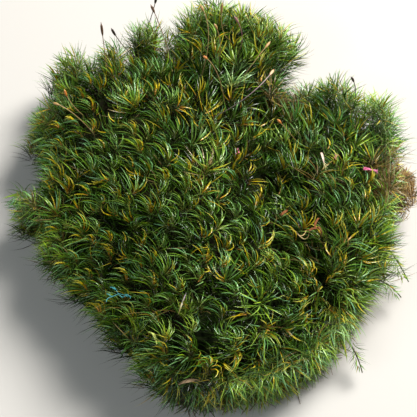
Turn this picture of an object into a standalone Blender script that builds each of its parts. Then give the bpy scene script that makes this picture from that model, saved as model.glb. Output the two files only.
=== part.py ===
"""A wild clump of broom moss, lifted off the ground with the brown mat of old stems that it grew on.

Three cushions of upright shoots have grown together, with smaller tufts round them. Each cushion is
a dome whose skin rises to one point for every leafy shoot. Thin stalks with spore capsules stand out
of the cushions, stray shoots reach past the rim, and bits of litter lie on top.

Sizes below are in millimetres. The mat's cut underside lies on Z = 0, +Z points up, and the clump is
seen with -Y nearest. The middle of the clump's box stands over the origin.
"""

import math
import random
from collections import namedtuple

import bmesh
import bpy
from mathutils import Vector
from mathutils.bvhtree import BVHTree

MM = 0.001
GOLDEN_ANGLE = math.pi * (3 - math.sqrt(5))
SEED = 11
GAP = 0.3

# The brown mat under the cushions
MAT_THICKNESS = 8.0
MAT_STEPS = 90
MAT_BELTS = (2.5, 5.5)
MAT_INSET = 0.94
MAT_UNEVENNESS = 0.9

# The green cushions: where they stand, how the mounds blend, and how deep the valleys between shoots are
SEAT = MAT_THICKNESS + GAP
WAIST = 15.0
BLEND_POWER = 14
EVENING_ROUNDS = 5
SHOOT_UNEVENNESS = 0.028
VALLEY_DEPTH = 3.4
VALLEY_SHARE_OF_WIDTH = 0.19
VALLEY_SHARPNESS = 1.6
FIRST_ROW = 2.4
AREA_STEPS = 2000
FLANK_SLOPE = 12.0
FLANK_PRESSED_IN = 0.8

# Stalks with spore capsules; an outline gives girths at shares of the length
STALK_RADIUS = 0.26
STALK_STEPS = 7
STALK_CLEARANCE = 0.9
TIP_SEARCH = 4.0
CAPSULE_LENGTH = 3.4
CAPSULE_RADIUS = 0.62
CAPSULE_OUTLINE = ((0.25, 0.9), (0.6, 1.0), (0.85, 0.6), (1.0, 0.28))

# Stray shoots at the rim, thin at the root and leafy at the tip
STEM_RADIUS = 0.45
SPRIG_STEPS = 9
SPRIG_OUTLINE = ((0.0, 1.0), (0.35, 1.0), (0.5, 3.0), (0.75, 5.6), (0.9, 4.2), (1.0, 1.2))

# Litter is lowered onto the moss in steps, and ends clear of it
HIGHEST = 60.0
DROP_STEP = 0.15
CLEARANCE = 1.0

# name; heart (x, y) from which the dome is measured; shoots on the dome; points round the foot;
# mounds that make up the dome, each (x, y, half width, half depth, top)
Cushion = namedtuple("Cushion", "name heart shoots rim mounds")
CUSHIONS = (
    Cushion("cushion_main", (-12, -6), 370, 62, (
        (-35, 33, 26, 26, 37),
        (-45, 42, 16, 16, 33),
        (-25, 46, 17, 15, 36),
        (-42, 5, 20, 27, 35),
        (-10, -2, 35, 34, 43),
        (-35, -21, 24, 26, 34),
        (-5, -36, 31, 28, 40),
        (4, -52, 26, 21, 31),
        (26, -42, 24, 24, 34),
        (24, -12, 24, 22, 37),
        (-4, 32, 25, 25, 39),
        (14, 32, 18, 22, 36),
        (-20, -48, 20, 21, 30),
    )),
    Cushion("cushion_east", (44, -4), 185, 48, (
        (45, 9, 19, 24, 38),
        (48, -15, 18, 20, 33),
        (38, 28, 21, 23, 35),
        (52, 21, 12, 18, 30),
        (24, 38, 13, 14, 33),
        (34, -10, 22, 22, 37),
        (38, -38, 18, 24, 34),
    )),
    Cushion("cushion_north", (8, 62), 84, 30, (
        (4, 64, 18, 20, 34),
        (20, 63, 17, 21, 33),
        (-9, 65, 12, 13, 28),
        (4, 52, 20, 16, 36),
    )),
    Cushion("tuft_north_west", (-22, 68), 26, 16, ((-22, 68, 10, 11, 28),)),
    Cushion("tuft_top_left", (-57, 58), 24, 15, ((-57, 58, 9, 9, 29),)),
    Cushion("tuft_far_left", (-65, 34), 22, 14, ((-65, 34, 8, 11, 26),)),
    Cushion("tuft_left_tip", (-66, 2), 20, 13, ((-66, 2, 7.5, 9, 21),)),
    Cushion("tuft_back", (-41, 63), 18, 13, ((-41, 63, 8, 8, 25),)),
    Cushion("tuft_notch", (30, 51), 18, 13, ((30, 51, 8, 8, 25),)),
    Cushion("tuft_right", (68, 32), 20, 13, ((68, 32, 7.5, 10, 24),)),
    Cushion("dead_tuft_right", (68, 10), 20, 14, ((68, 10, 7, 11, 23),)),
)

# Where two cushions touch side by side, both are pressed flat on one upright wall: (cushion, the other,
# wall), with the wall as (x, y, heading in degrees from the cushion to the other)
CONTACTS = (
    ("cushion_main", "cushion_east", (21, 30, 12)),
    ("cushion_main", "cushion_north", (2, 51, 74)),
    ("cushion_east", "cushion_north", (32, 47, 110)),
    ("cushion_main", "tuft_notch", (24, 46, 40)),
    ("cushion_north", "tuft_notch", (26, 53, -40)),
    ("cushion_east", "tuft_notch", (32, 47, 120)),
    ("cushion_north", "tuft_north_west", (-15, 68, 180)),
    ("tuft_north_west", "tuft_back", (-32, 64, 160)),
    ("tuft_back", "tuft_top_left", (-48, 60, 205)),
    ("tuft_top_left", "tuft_far_left", (-60, 46, 250)),
    ("tuft_right", "dead_tuft_right", (69, 21, -88)),
)

# A small tuft leans on the flank of a big cushion, in this heading from the middle of the big one
LEANING_TUFTS = (
    ("cushion_main", "tuft_north_west", 92),
    ("cushion_main", "tuft_back", 100),
    ("cushion_main", "tuft_top_left", 132),
    ("cushion_main", "tuft_far_left", 175),
    ("cushion_main", "tuft_left_tip", 184),
    ("cushion_east", "tuft_right", 15),
    ("cushion_east", "dead_tuft_right", 0),
)

# Spore stalks: foot (x, y), a point half way up and the tip, as (x, y, z)
STALKS = (
    ((-26, 54), (-31, 56, 38), (-35, 58, 47)),
    ((-37, 50), (-38, 56, 34), (-39, 63, 43)),
    ((-14, 52), (-17, 61, 40), (-21, 68, 47)),
    ((-24, 69), (-21, 70, 36), (-19, 73, 44)),
    ((-3, 45), (0, 54, 48), (-3, 62, 56)),
    ((6, 33), (3, 37, 51), (-2, 41, 56)),
    ((8, 60), (5, 61, 42), (5, 66, 52)),
    ((4, 52), (4, 55, 44), (2, 58, 50)),
    ((11, 54), (12, 56, 46), (9, 60, 52)),
    ((2, 27), (14, 27, 53), (23, 38, 52)),
    ((9, 38), (15, 41, 49), (22, 50, 51)),
    ((31, 19), (27, 20, 42), (24, 22, 45)),
    ((-45, 29), (-49, 31, 41), (-51, 34, 45)),
    ((-41, 23), (-48, 26, 42), (-55, 29, 44)),
    ((53, 38), (53, 40, 35), (51, 42, 40)),
)

# Stray shoots: height of the root, a point half way and the tip, as (x, y, z)
SPRIGS = (
    (12, (70, -19, 11), (74, -24, 7)),
    (12, (66, -30, 10), (70, -33, 7)),
    (11, (53, -53, 9), (56, -58, 6)),
)

# Loose bits on the moss: (name, middle (x, y), turn in degrees, size (x, y, z))
FLAKES = (
    ("bark_flake_small", (26, -10), 35, (5.5, 2.6, 1.0)),
    ("bark_flake_large", (37, -16), -50, (6.0, 2.4, 1.2)),
    ("dry_husk", (40, 10), -70, (5.0, 1.5, 1.1)),
    ("curled_leaf", (-18, -54), -55, (5.0, 1.6, 1.2)),
    ("grey_leaf", (-7, -67), 12, (7.5, 1.7, 1.0)),
)
BLADES = (
    ("dry_blade", (-9, -45), -108, 9.5, 0.45),
    ("dry_straw", (31, -17), -40, 8.5, 0.40),
)

# Branching bits on the moss: (name, middle (x, y), turn, twig thickness, outline of twigs from its middle)
BRANCHED = (
    ("lichen_sprig", (-30, -40), 40, 0.55, (
        ((-4.5, 0), (0, 0)), ((0, 0), (4.5, 1.2)), ((0, 0), (2.4, -2.6)), ((-2.2, 0), (-3.6, 2.6)),
    )),
    ("pink_fibre", (57, 7), -10, 0.45, (
        ((-2.8, 0), (0.5, 0)), ((0.5, 0), (3.2, 0.4)), ((-0.8, 0), (-1.8, 1.9)),
    )),
)

COLOURS = {
    "living_moss": ((0.045, 0.085, 0.015), 0.55),
    "dead_moss": ((0.16, 0.12, 0.05), 0.8),
    "mat": ((0.075, 0.048, 0.025), 0.9),
    "stalk": ((0.42, 0.24, 0.11), 0.45),
    "bark": ((0.24, 0.09, 0.035), 0.8),
    "dry_leaf": ((0.55, 0.45, 0.28), 0.7),
    "lichen": ((0.10, 0.30, 0.26), 0.8),
    "fibre": ((0.62, 0.12, 0.22), 0.6),
}


def clear_scene():
    for obj in list(bpy.data.objects):
        bpy.data.objects.remove(obj, do_unlink=True)


def material(name):
    found = bpy.data.materials.get(name)
    if found:
        return found
    colour, roughness = COLOURS[name]
    made = bpy.data.materials.new(name)
    made.use_nodes = True
    shader = made.node_tree.nodes["Principled BSDF"]
    shader.inputs["Base Color"].default_value = (*colour, 1)
    shader.inputs["Roughness"].default_value = roughness
    return made


def add_object(name, data, finish):
    obj = bpy.data.objects.new(name, data)
    bpy.data.collections["moss_clump"].objects.link(obj)
    data.materials.append(material(finish))
    return obj


def mesh_from(bm, name, finish):
    bmesh.ops.recalc_face_normals(bm, faces=bm.faces)
    mesh = bpy.data.meshes.new(name)
    bm.to_mesh(mesh)
    bm.free()
    return add_object(name, mesh, finish)


# ---------------------------------------------------------------- cushions


def upright_wall(x, y, heading):
    """An upright wall through (x, y), as a point and a unit normal."""
    turn = math.radians(heading)
    return Vector((x, y, 0)), Vector((math.cos(turn), math.sin(turn), 0))


def flank_wall(name, heading):
    """A sloping wall that presses in the flank of the named cushion a little, as a point and a normal."""
    turn, slope = math.radians(heading), math.radians(FLANK_SLOPE)
    level = math.cos(slope)
    normal = Vector((math.cos(turn) * level, math.sin(turn) * level, math.sin(slope)))
    (mounds,) = [cushion.mounds for cushion in CUSHIONS if cushion.name == name]
    furthest = 0
    for x, y, half_width, half_depth, top in mounds:
        bulge = Vector((normal.x * half_width, normal.y * half_depth, normal.z * (top - WAIST))).length
        furthest = max(furthest, normal.dot(Vector((x, y, WAIST))) + bulge)
    return normal * (furthest - FLANK_PRESSED_IN), normal


def reach_of_mounds(mounds, heart, ray):
    """How far along the ray the mounds' blended outside lies."""
    total = 0.0
    for x, y, half_width, half_depth, top in mounds:
        radii = Vector((half_width, half_depth, top - WAIST))
        start = Vector(((heart.x - x) / radii.x, (heart.y - y) / radii.y, (heart.z - WAIST) / radii.z))
        step = Vector((ray.x / radii.x, ray.y / radii.y, ray.z / radii.z))
        a = step.length_squared
        b = start.dot(step)
        under_root = b * b - a * (start.length_squared - 1)
        if under_root <= 0:
            continue
        reach = (-b + math.sqrt(under_root)) / a
        if reach > 0:
            total += reach ** BLEND_POWER
    return total ** (1 / BLEND_POWER)


def way_to_wall(wall, heart, ray):
    """How far along the ray the cushion reaches the wall, or infinity if it leads away from it."""
    point, normal = wall
    speed = normal.dot(ray)
    return (normal.dot(point - heart) - GAP / 2) / speed if speed > 1e-9 else math.inf


def walls_of(name):
    """The walls that a cushion is pressed on, each as a point and a normal that points away from it."""
    walls = [(first, second, upright_wall(*wall)) for first, second, wall in CONTACTS]
    walls += [(first, second, flank_wall(first, heading)) for first, second, heading in LEANING_TUFTS]
    found = [wall for first, _, wall in walls if first == name]
    return found + [(point, -normal) for _, second, (point, normal) in walls if second == name]


def even_polar_angles(count, flatness, lowest):
    """Angles from the top of a flattened dome down to the lowest that give every shoot the same area."""
    step = lowest / AREA_STEPS
    angles = [(i + 0.5) * step for i in range(AREA_STEPS)]
    areas = [math.sin(a) * math.hypot(math.cos(a), flatness * math.sin(a)) for a in angles]
    whole = sum(areas)
    found, covered, at = [], 0.0, 0
    for shoot in range(count):
        while covered < (shoot + 0.5) / count * whole:
            covered += areas[at]
            at += 1
        found.append(angles[min(at, AREA_STEPS - 1)])
    return found


def dome_net(cushion, flatness, lowest):
    """A half sphere with one point for each shoot, laid out by the golden angle, and a level foot."""
    bm = bmesh.new()
    for i in range(cushion.rim):
        turn = 2 * math.pi * i / cushion.rim
        bm.verts.new((math.cos(turn), math.sin(turn), 0))
    for shoot, polar in enumerate(even_polar_angles(cushion.shoots, flatness, lowest)):
        turn = shoot * GOLDEN_ANGLE
        out = math.sin(polar)
        bm.verts.new((out * math.cos(turn), out * math.sin(turn), math.cos(polar)))
    bmesh.ops.convex_hull(bm, input=bm.verts)
    foot = [f for f in bm.faces if all(v.co.z < 1e-6 for v in f.verts)]
    bmesh.ops.dissolve_faces(bm, faces=foot)
    return bm


def even_out(bm, reaches):
    """Draws each reach towards those of the points round it, so hollows between mounds stay open."""
    for _ in range(EVENING_ROUNDS):
        around = {v: [e.other_vert(v) for e in v.link_edges] for v in bm.verts}
        means = {v: sum(reaches[n] for n in near) / len(near) for v, near in around.items()}
        reaches = {v: (reaches[v] + means[v]) / 2 for v in bm.verts}
    return reaches


def pull_out(bm, cushion, flatness, rng):
    """Moves the net's points out to the cushion's skin. Returns the points that no wall or seat holds."""
    heart = Vector((*cushion.heart, SEAT))
    walls = walls_of(cushion.name)
    rays = {v: Vector((v.co.x, v.co.y, v.co.z * flatness)).normalized() for v in bm.verts}
    reaches = even_out(bm, {v: reach_of_mounds(cushion.mounds, heart, ray) for v, ray in rays.items()})
    free = set()
    for vert in bm.verts:
        on_seat = vert.co.z < 1e-6
        ray, reach = rays[vert], reaches[vert]
        if not on_seat:
            reach *= 1 + rng.uniform(-SHOOT_UNEVENNESS, SHOOT_UNEVENNESS)
        held = min((way_to_wall(wall, heart, ray) for wall in walls), default=math.inf)
        if not on_seat and reach < held:
            free.add(vert)
        vert.co = (heart + ray * min(reach, held)) * MM
    return free


def open_faces(bm, free):
    """The faces on the open side of a cushion, and the edges between two of them."""
    seat = (SEAT + 0.1) * MM
    faces = [f for f in bm.faces if any(v in free for v in f.verts) and all(v.co.z > seat for v in f.verts)]
    opened = set(faces)
    return faces, [e for e in bm.edges if opened.issuperset(e.link_faces)]


def part_the_shoots(bm, free, deepest):
    """Sinks the middle of each open face and turns the edges between, so each point is one shoot."""
    faces, edges = open_faces(bm, free)
    bmesh.ops.beautify_fill(bm, faces=faces, edges=edges, method="ANGLE")
    faces, edges = open_faces(bm, free)
    for face in faces:
        inner_radius = 2 * face.calc_area() / face.calc_perimeter()
        depth = min(deepest * MM, VALLEY_SHARPNESS * inner_radius)
        bmesh.ops.poke(bm, faces=[face], offset=-depth, center_mode="MEAN")
    bmesh.ops.rotate_edges(bm, edges=edges)


def make_cushion(cushion, rng):
    """One cushion or tuft, with a point on its skin for every shoot and a level foot."""
    heart = Vector(cushion.heart)
    spread = max((Vector(m[:2]) - heart).length + m[2] for m in cushion.mounds)
    flatness = max(0.5, min(1.6, (cushion.mounds[0][4] - SEAT) / spread))
    lowest = math.pi / 2 - FIRST_ROW / (spread * flatness)
    bm = dome_net(cushion, flatness, lowest)
    free = pull_out(bm, cushion, flatness, rng)
    bmesh.ops.recalc_face_normals(bm, faces=bm.faces)
    part_the_shoots(bm, free, min(VALLEY_DEPTH, VALLEY_SHARE_OF_WIDTH * cushion.mounds[0][2]))
    finish = "dead_moss" if cushion.name.startswith("dead") else "living_moss"
    return mesh_from(bm, cushion.name, finish)


# ---------------------------------------------------------------- mat


def footprint_reach(turn):
    """How far the mounds' outline lies from the origin in this direction, seen from above."""
    ray = Vector((math.cos(turn), math.sin(turn)))
    found = 0.0
    for cushion in CUSHIONS:
        for x, y, half_width, half_depth, _ in cushion.mounds:
            start = Vector((-x / half_width, -y / half_depth))
            step = Vector((ray.x / half_width, ray.y / half_depth))
            a, b = step.length_squared, start.dot(step)
            under_root = b * b - a * (start.length_squared - 1)
            if under_root > 0:
                found = max(found, (-b + math.sqrt(under_root)) / a)
    return found


def make_mat(rng):
    """A slab of old stems whose outline follows the cushions, cut flat underneath."""
    bm = bmesh.new()
    bmesh.ops.create_cone(bm, cap_ends=True, segments=MAT_STEPS, radius1=1, radius2=1, depth=MAT_THICKNESS)
    bmesh.ops.translate(bm, verts=bm.verts, vec=(0, 0, MAT_THICKNESS / 2))
    for height in MAT_BELTS:
        whole = bm.verts[:] + bm.edges[:] + bm.faces[:]
        bmesh.ops.bisect_plane(bm, geom=whole, plane_co=(0, 0, height), plane_no=(0, 0, 1))
    reaches = [footprint_reach(2 * math.pi * i / MAT_STEPS) for i in range(MAT_STEPS)]
    for vert in bm.verts:
        turn = math.atan2(vert.co.y, vert.co.x)
        at = round(turn / (2 * math.pi) * MAT_STEPS) % MAT_STEPS
        reach = (reaches[at - 1] + 2 * reaches[at] + reaches[(at + 1) % MAT_STEPS]) / 4
        reach = reach * MAT_INSET + rng.uniform(-MAT_UNEVENNESS, MAT_UNEVENNESS)
        vert.co.x = reach * math.cos(turn)
        vert.co.y = reach * math.sin(turn)
        vert.co *= MM
    return mesh_from(bm, "mat_of_old_stems", "mat")


# ---------------------------------------------------------------- stalks, sprigs and litter


def bezier(first, middle, last, share):
    """A point on the curve that leaves first, is drawn towards middle and ends at last."""
    return first * (1 - share) ** 2 + middle * (2 * share * (1 - share)) + last * share ** 2


def read_outline(outline, share):
    """The radius that an outline of (share, radius) pairs has at a share of its length."""
    for (s0, r0), (s1, r1) in zip(outline, outline[1:]):
        if share <= s1:
            return r0 + (r1 - r0) * (share - s0) / (s1 - s0)
    return outline[-1][1]


def tapered_tube(name, points, radii, finish, resolution=1):
    curve = bpy.data.curves.new(name, "CURVE")
    curve.dimensions = "3D"
    curve.bevel_depth = MM
    curve.bevel_resolution = resolution
    curve.use_fill_caps = True
    spline = curve.splines.new("POLY")
    spline.points.add(len(points) - 1)
    for spot, point, radius in zip(spline.points, points, radii):
        spot.co = (*(point * MM), 1)
        spot.radius = radius
    return add_object(name, curve, finish)


def shoot_tip(cushions, x, y):
    """The highest shoot tip near (x, y), in millimetres."""
    tips = [v.co / MM for cushion in cushions for v in cushion.data.vertices]
    return max((t for t in tips if math.hypot(t.x - x, t.y - y) < TIP_SEARCH), key=lambda t: t.z)


def make_stalk(number, row, cushions):
    """A thin stalk that leaves a shoot tip and widens into its capsule."""
    foot = shoot_tip(cushions, *row[0]) + Vector((0, 0, STALK_CLEARANCE))
    middle, tip = Vector(row[1]), Vector(row[2])
    # The curve passes through the middle point when it is drawn towards this one.
    towards = middle * 2 - (foot + tip) / 2
    length = (middle - foot).length + (tip - middle).length
    neck = 1 - CAPSULE_LENGTH / length
    shares = [neck * i / STALK_STEPS for i in range(STALK_STEPS + 1)]
    radii = [STALK_RADIUS] * len(shares)
    for share, girth in CAPSULE_OUTLINE:
        shares.append(neck + (1 - neck) * share)
        radii.append(CAPSULE_RADIUS * girth)
    points = [bezier(foot, towards, tip, share) for share in shares]
    return tapered_tube(f"spore_stalk_{number:02d}", points, radii, "stalk")


def make_sprig(number, row, surfaces):
    """A stray shoot that starts just clear of the rim behind its tip."""
    root_height, middle, tip = row[0], Vector(row[1]), Vector(row[2])
    outside = Vector((tip.x, tip.y, root_height))
    inward = Vector((-tip.x, -tip.y, 0)).normalized()
    hits = [surface.ray_cast(outside * MM, inward)[0] for surface in surfaces]
    nearest = min((hit / MM for hit in hits if hit), key=lambda hit: (hit - outside).length)
    root = nearest - inward * CLEARANCE
    towards = middle * 2 - (root + tip) / 2
    shares = [i / SPRIG_STEPS for i in range(SPRIG_STEPS + 1)]
    points = [bezier(root, towards, tip, share) for share in shares]
    radii = [STEM_RADIUS * read_outline(SPRIG_OUTLINE, share) for share in shares]
    return tapered_tube(f"stray_shoot_{number}", points, radii, "living_moss", 2)


def place(obj, middle, turn):
    obj.location = (middle[0] * MM, middle[1] * MM, 0)
    obj.rotation_euler = (0, 0, math.radians(turn))


def make_flake(name, middle, turn, size, rng):
    """A small uneven plate with rounded edges, arched as dry bark and leaves are."""
    bm = bmesh.new()
    bmesh.ops.create_uvsphere(bm, u_segments=8, v_segments=5, radius=0.5)
    for vert in bm.verts:
        arch = 0.5 * size[2] * (1 - (2 * vert.co.x) ** 2)
        vert.co.x *= size[0] * rng.uniform(0.9, 1.1)
        vert.co.y *= size[1] * rng.uniform(0.85, 1.15)
        vert.co.z = vert.co.z * size[2] + arch
        vert.co *= MM
    obj = mesh_from(bm, name, "bark" if name.startswith("bark") else "dry_leaf")
    obj.data.shade_smooth()
    place(obj, middle, turn)
    return obj


def make_blade(name, middle, turn, length, radius):
    """A thin dry grass blade, bowed up a little in its middle."""
    shares = [i / 6 for i in range(7)]
    points = [Vector(((s - 0.5) * length, 0.12 * length * (s - s * s), 0)) for s in shares]
    radii = [radius * (0.35 + 2.6 * s * (1 - s)) for s in shares]
    obj = tapered_tube(name, points, radii, "dry_leaf")
    place(obj, middle, turn)
    return obj


def make_branched(name, middle, turn, thickness, twigs):
    """A branching bit, grown round its twigs by a Skin modifier."""
    bm = bmesh.new()
    corners = {}
    for start, end in twigs:
        for corner in (start, end):
            if corner not in corners:
                corners[corner] = bm.verts.new((corner[0] * MM, corner[1] * MM, 0))
    # A twig that leaves another one part way along shares a corner with it.
    spots = sorted(corners)
    for start, end in twigs:
        on_way = [c for c in spots if lies_between(start, end, c)]
        stops = sorted(on_way, key=lambda c: (c[0] - start[0]) ** 2 + (c[1] - start[1]) ** 2)
        for a, b in zip(stops, stops[1:]):
            bm.edges.new((corners[a], corners[b]))
    mesh = bpy.data.meshes.new(name)
    bm.to_mesh(mesh)
    bm.free()
    obj = add_object(name, mesh, "lichen" if name.startswith("lichen") else "fibre")
    obj.modifiers.new("twigs", "SKIN")
    for spot in mesh.skin_vertices[0].data:
        spot.radius = (thickness * MM, thickness * MM)
    mesh.skin_vertices[0].data[0].use_root = True
    place(obj, middle, turn)
    return obj


def lies_between(start, end, corner):
    """True if the corner is on the straight line from start to end."""
    first, last, spot = (Vector((*p, 0)) for p in (start, end, corner))
    return (spot - first).length + (last - spot).length - (last - first).length < 1e-6


def world_mesh(obj):
    """The evaluated corners and faces of an object, in world space."""
    bpy.context.view_layer.update()
    evaluated = obj.evaluated_get(bpy.context.evaluated_depsgraph_get())
    mesh = evaluated.to_mesh()
    corners = [evaluated.matrix_world @ v.co for v in mesh.vertices]
    faces = [tuple(p.vertices) for p in mesh.polygons]
    evaluated.to_mesh_clear()
    return corners, faces


def lay_on(obj, surfaces):
    """Lowers the object until it would touch the moss, then lifts it clear."""
    corners, faces = world_mesh(obj)
    height = HIGHEST
    while True:
        lowered = BVHTree.FromPolygons([c + Vector((0, 0, height - DROP_STEP)) * MM for c in corners], faces)
        if height < MAT_THICKNESS or any(lowered.overlap(surface) for surface in surfaces):
            break
        height -= DROP_STEP
    obj.location.z = (height + CLEARANCE) * MM


def stand_over_origin(objects):
    """Moves everything so that the middle of the clump's box is over the origin."""
    spots = [corner for obj in objects for corner in world_mesh(obj)[0]]
    for axis in (0, 1):
        middle = (min(s[axis] for s in spots) + max(s[axis] for s in spots)) / 2
        for obj in objects:
            obj.location[axis] -= middle


def main():
    clear_scene()
    bpy.context.scene.collection.children.link(bpy.data.collections.new("moss_clump"))
    rng = random.Random(SEED)
    cushions = [make_cushion(cushion, rng) for cushion in CUSHIONS]
    surfaces = [BVHTree.FromPolygons(*world_mesh(obj)) for obj in cushions]
    others = [make_mat(rng)]
    others += [make_stalk(i + 1, row, cushions) for i, row in enumerate(STALKS)]
    others += [make_sprig(i + 1, row, surfaces) for i, row in enumerate(SPRIGS)]
    litter = [make_flake(*row, rng) for row in FLAKES]
    litter += [make_blade(*row) for row in BLADES]
    litter += [make_branched(*row) for row in BRANCHED]
    for bit in litter:
        lay_on(bit, surfaces)
    stand_over_origin(cushions + others + litter)


main()
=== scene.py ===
"""A wild clump of broom moss on its mat of old stems, dressed with curved leaves, spore stalks and litter.

Places are given in millimetres in the clump's plan, as seen from above, and `frame_place` turns one into a
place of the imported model. The clump lies on a pale floor in soft studio light.
"""

import itertools
import math
import random

import bmesh
import bpy
from mathutils import Matrix, Vector, noise
from mathutils.bvhtree import BVHTree
from mathutils.kdtree import KDTree


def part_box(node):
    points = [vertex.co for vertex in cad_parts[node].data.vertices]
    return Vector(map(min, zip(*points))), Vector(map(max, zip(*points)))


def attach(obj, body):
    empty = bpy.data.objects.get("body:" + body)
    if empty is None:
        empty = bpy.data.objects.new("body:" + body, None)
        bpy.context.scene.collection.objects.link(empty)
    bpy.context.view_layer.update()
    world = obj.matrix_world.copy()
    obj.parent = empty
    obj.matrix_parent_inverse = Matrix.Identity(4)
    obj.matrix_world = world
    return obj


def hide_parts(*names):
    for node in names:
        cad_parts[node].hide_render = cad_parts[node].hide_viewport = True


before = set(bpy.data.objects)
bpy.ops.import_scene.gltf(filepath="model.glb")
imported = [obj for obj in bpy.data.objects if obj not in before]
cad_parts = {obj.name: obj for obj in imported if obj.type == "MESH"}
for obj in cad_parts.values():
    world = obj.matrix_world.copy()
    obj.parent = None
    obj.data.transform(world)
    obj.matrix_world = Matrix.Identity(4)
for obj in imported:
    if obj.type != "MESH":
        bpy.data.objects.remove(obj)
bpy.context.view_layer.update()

MM = 0.001
SEED = 7
GOLDEN_ANGLE = math.pi * (3 - math.sqrt(5))
UP = Vector((0, 0, 1))
BAKE_MAP = "OFBake"

# The middle of the clump's box in its plan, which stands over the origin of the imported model
PLAN_MIDDLE = Vector((1.25, 5.76, 0))

# The camera looks down steeply on the clump, with lengths in millimetres and its elevation in degrees
CAMERA_TARGET = (0, 0, 18)
CAMERA_ELEVATION = 65
CAMERA_DISTANCE = 550
VIEW_WIDTH_AT_TARGET = 150.12
SENSOR_WIDTH = 36.0

CUSHIONS = ("cushion_main", "cushion_east", "cushion_north")
TUFTS = (
    "tuft_north_west", "tuft_top_left", "tuft_far_left", "tuft_left_tip", "tuft_back", "tuft_notch",
    "tuft_right",
)
DEAD_TUFT = "dead_tuft_right"
MAT_NODE = "mat_of_old_stems"

# Shoots. A corner of a solid's skin is a point or a valley if it stands out or lies in by TIP_LIFT, and the
# skin within WAY_RADIUS tells which way is out there. Tips keep their insets inside the rim, and TIP_SLANT
# more on the side that faces the viewer. A tip too close to another becomes a low shoot. All in millimetres.
TIP_LIFT = 0.7
WAY_RADIUS = 11
TIP_SPACING = 4.9
TIP_INSET = 1.6
TUFT_INSET = 3.8
TIP_SLANT = 2.2
LOWEST_SHOOT = 9.5
VALLEY_LIFT = 1.6
UNDER_DEPTH = 2.2
UNDER_SPACING = 3.3
APEX_DEPTH = 3.0

# A full leaf before its shoot, its age and chance scale it, the length of stem that bears leaves and its
# radius, in millimetres, and how many leaves a shoot has
LEAF_LENGTH = 9.8
LEAF_HALF_WIDTH = 0.235
LEAFY_STEM = 5.0
STEM_RADIUS = 0.35
LEAVES = 27
UNDER_LEAVES = 14
RIM_LEAVES = 21

# A straight leaf of length 1: how wide it is at shares of its length, and how high its ridge is for its width
LEAF_RINGS = ((0.08, 0.75), (0.30, 1.0), (0.56, 0.80), (0.80, 0.42))
LEAF_RIDGE = 0.6
# Step in the leaf's map from one side of a leaf to the other
SIDE_STEP = 0.004

# In how many pieces a cushion's leaves are made, the place in the plan round which they are shared out, and
# the seeds of the pieces
SECTORS = {"cushion_main": 3, "cushion_east": 2}
CUSHION_HEART = (-12, -6)
RIM_SECTORS = 2
FIRST_SEED = 101
SEED_STEP = 100

# The dark inside of a cushion: how deep it lies under the skin, how far inside the rim, how often it is
# smoothed, the least share of the skin's reach that it keeps, and the sizes and heights of its lumps, in
# millimetres
CORE_DEPTH = 8.0
TUFT_CORE_DEPTH = 3.5
CORE_INSET = 7.0
CORE_SLANT = 1.8
CORE_SMOOTHING = 5
CORE_LEAST_SHARE = 0.4
CORE_LUMPS = ((3.2, 0.9), (1.4, 0.4))

# The mat: how far inside the rim it stands, the heights of its rings of corners and their spacing, in
# millimetres, and how many loose stems lie round it and over the dead tuft
MAT_INSET = 6.6
MAT_SLANT = 1.2
MAT_HEIGHTS = (0.0, 1.0, 2.4, 3.8, 5.2, 6.6, 7.8)
MAT_SPACING = 1.2
OLD_STEMS = 1200
THATCH_STEMS = 420

# How the leaves curve, by place in the plan: (x, y, heading in which they rise, heading of their tips), with
# headings in degrees and 90 away from the viewer
SWEEPS = (
    (-57, 58, 105, 145), (-48, 40, 95, 150), (-28, 52, 85, 135), (-22, 68, 75, 110), (-3, 67, 85, 110),
    (15, 62, 90, 55), (22, 58, 70, 20), (14, 38, 45, 10), (-15, 45, 65, 110), (30, 51, 80, 55),
    (40, 38, 90, 140), (54, 36, 80, 30), (64, 27, 70, 40), (44, 14, 75, 135), (47, 0, 85, 140),
    (33, -17, 85, 150), (56, -20, 60, 20), (66, -28, 30, -20), (60, -38, -10, -55), (47, -48, -30, -75),
    (28, -60, -60, -88), (15, -68, -80, -100), (-7, -69, -100, -130), (-17, -56, 110, 180),
    (8, -52, 85, 160), (-3, -41, 60, 140), (-21, -40, 80, 160), (-36, -26, 115, 185),
    (-43, -36, 150, 210), (-54, -9, 120, 185), (-68, 0, 150, 188), (-50, 9, 105, 170),
    (-58, 28, 100, 165), (-36, 14, 85, 160), (-18, 26, 70, 135), (-3, 4, 60, 130), (11, 14, 55, 115),
    (-18, -9, 55, 130), (8, -12, 50, 125), (22, -38, 65, 140), (-36, 38, 80, 150), (-2, 30, 60, 105),
    (12, 26, 50, 90), (-34, -8, 95, 175),
)

# How much chance turns a shoot's leaves and their tips, in degrees, and the shares of shoots that curve the
# other way round and that spread their leaves to all sides
HEADING_SPREAD = 23
SWEEP_SPREAD = 10
MIRRORED_SHARE = 0.12
ROSETTE_SHARE = 0.14

# What chance picks from for each shoot: how far its leaves are swept to one side, how far it leans, its size
# and its share of golden leaves
ROSETTE_SWEPT = (0.1, 0.35)
PLAIN_SWEPT = (0.8, 1.1)
SHOOT_LEAN = (1.1, 1.9)
SHOOT_SIZE = (0.86, 1.12)
GOLD_SHARES = (0.06, 0.2, 0.45, 0.7)

# Shoots at the rim are smaller, less swept and less shaded low down, and turn about the way out, in degrees
RIM_SIZE = 0.84
RIM_SWEPT = 0.6
RIM_SHELTER = 0.5
RIM_LEAN = (0.1, 0.5)
RIM_TURN = 10
RIM_SPREAD = 25

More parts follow.
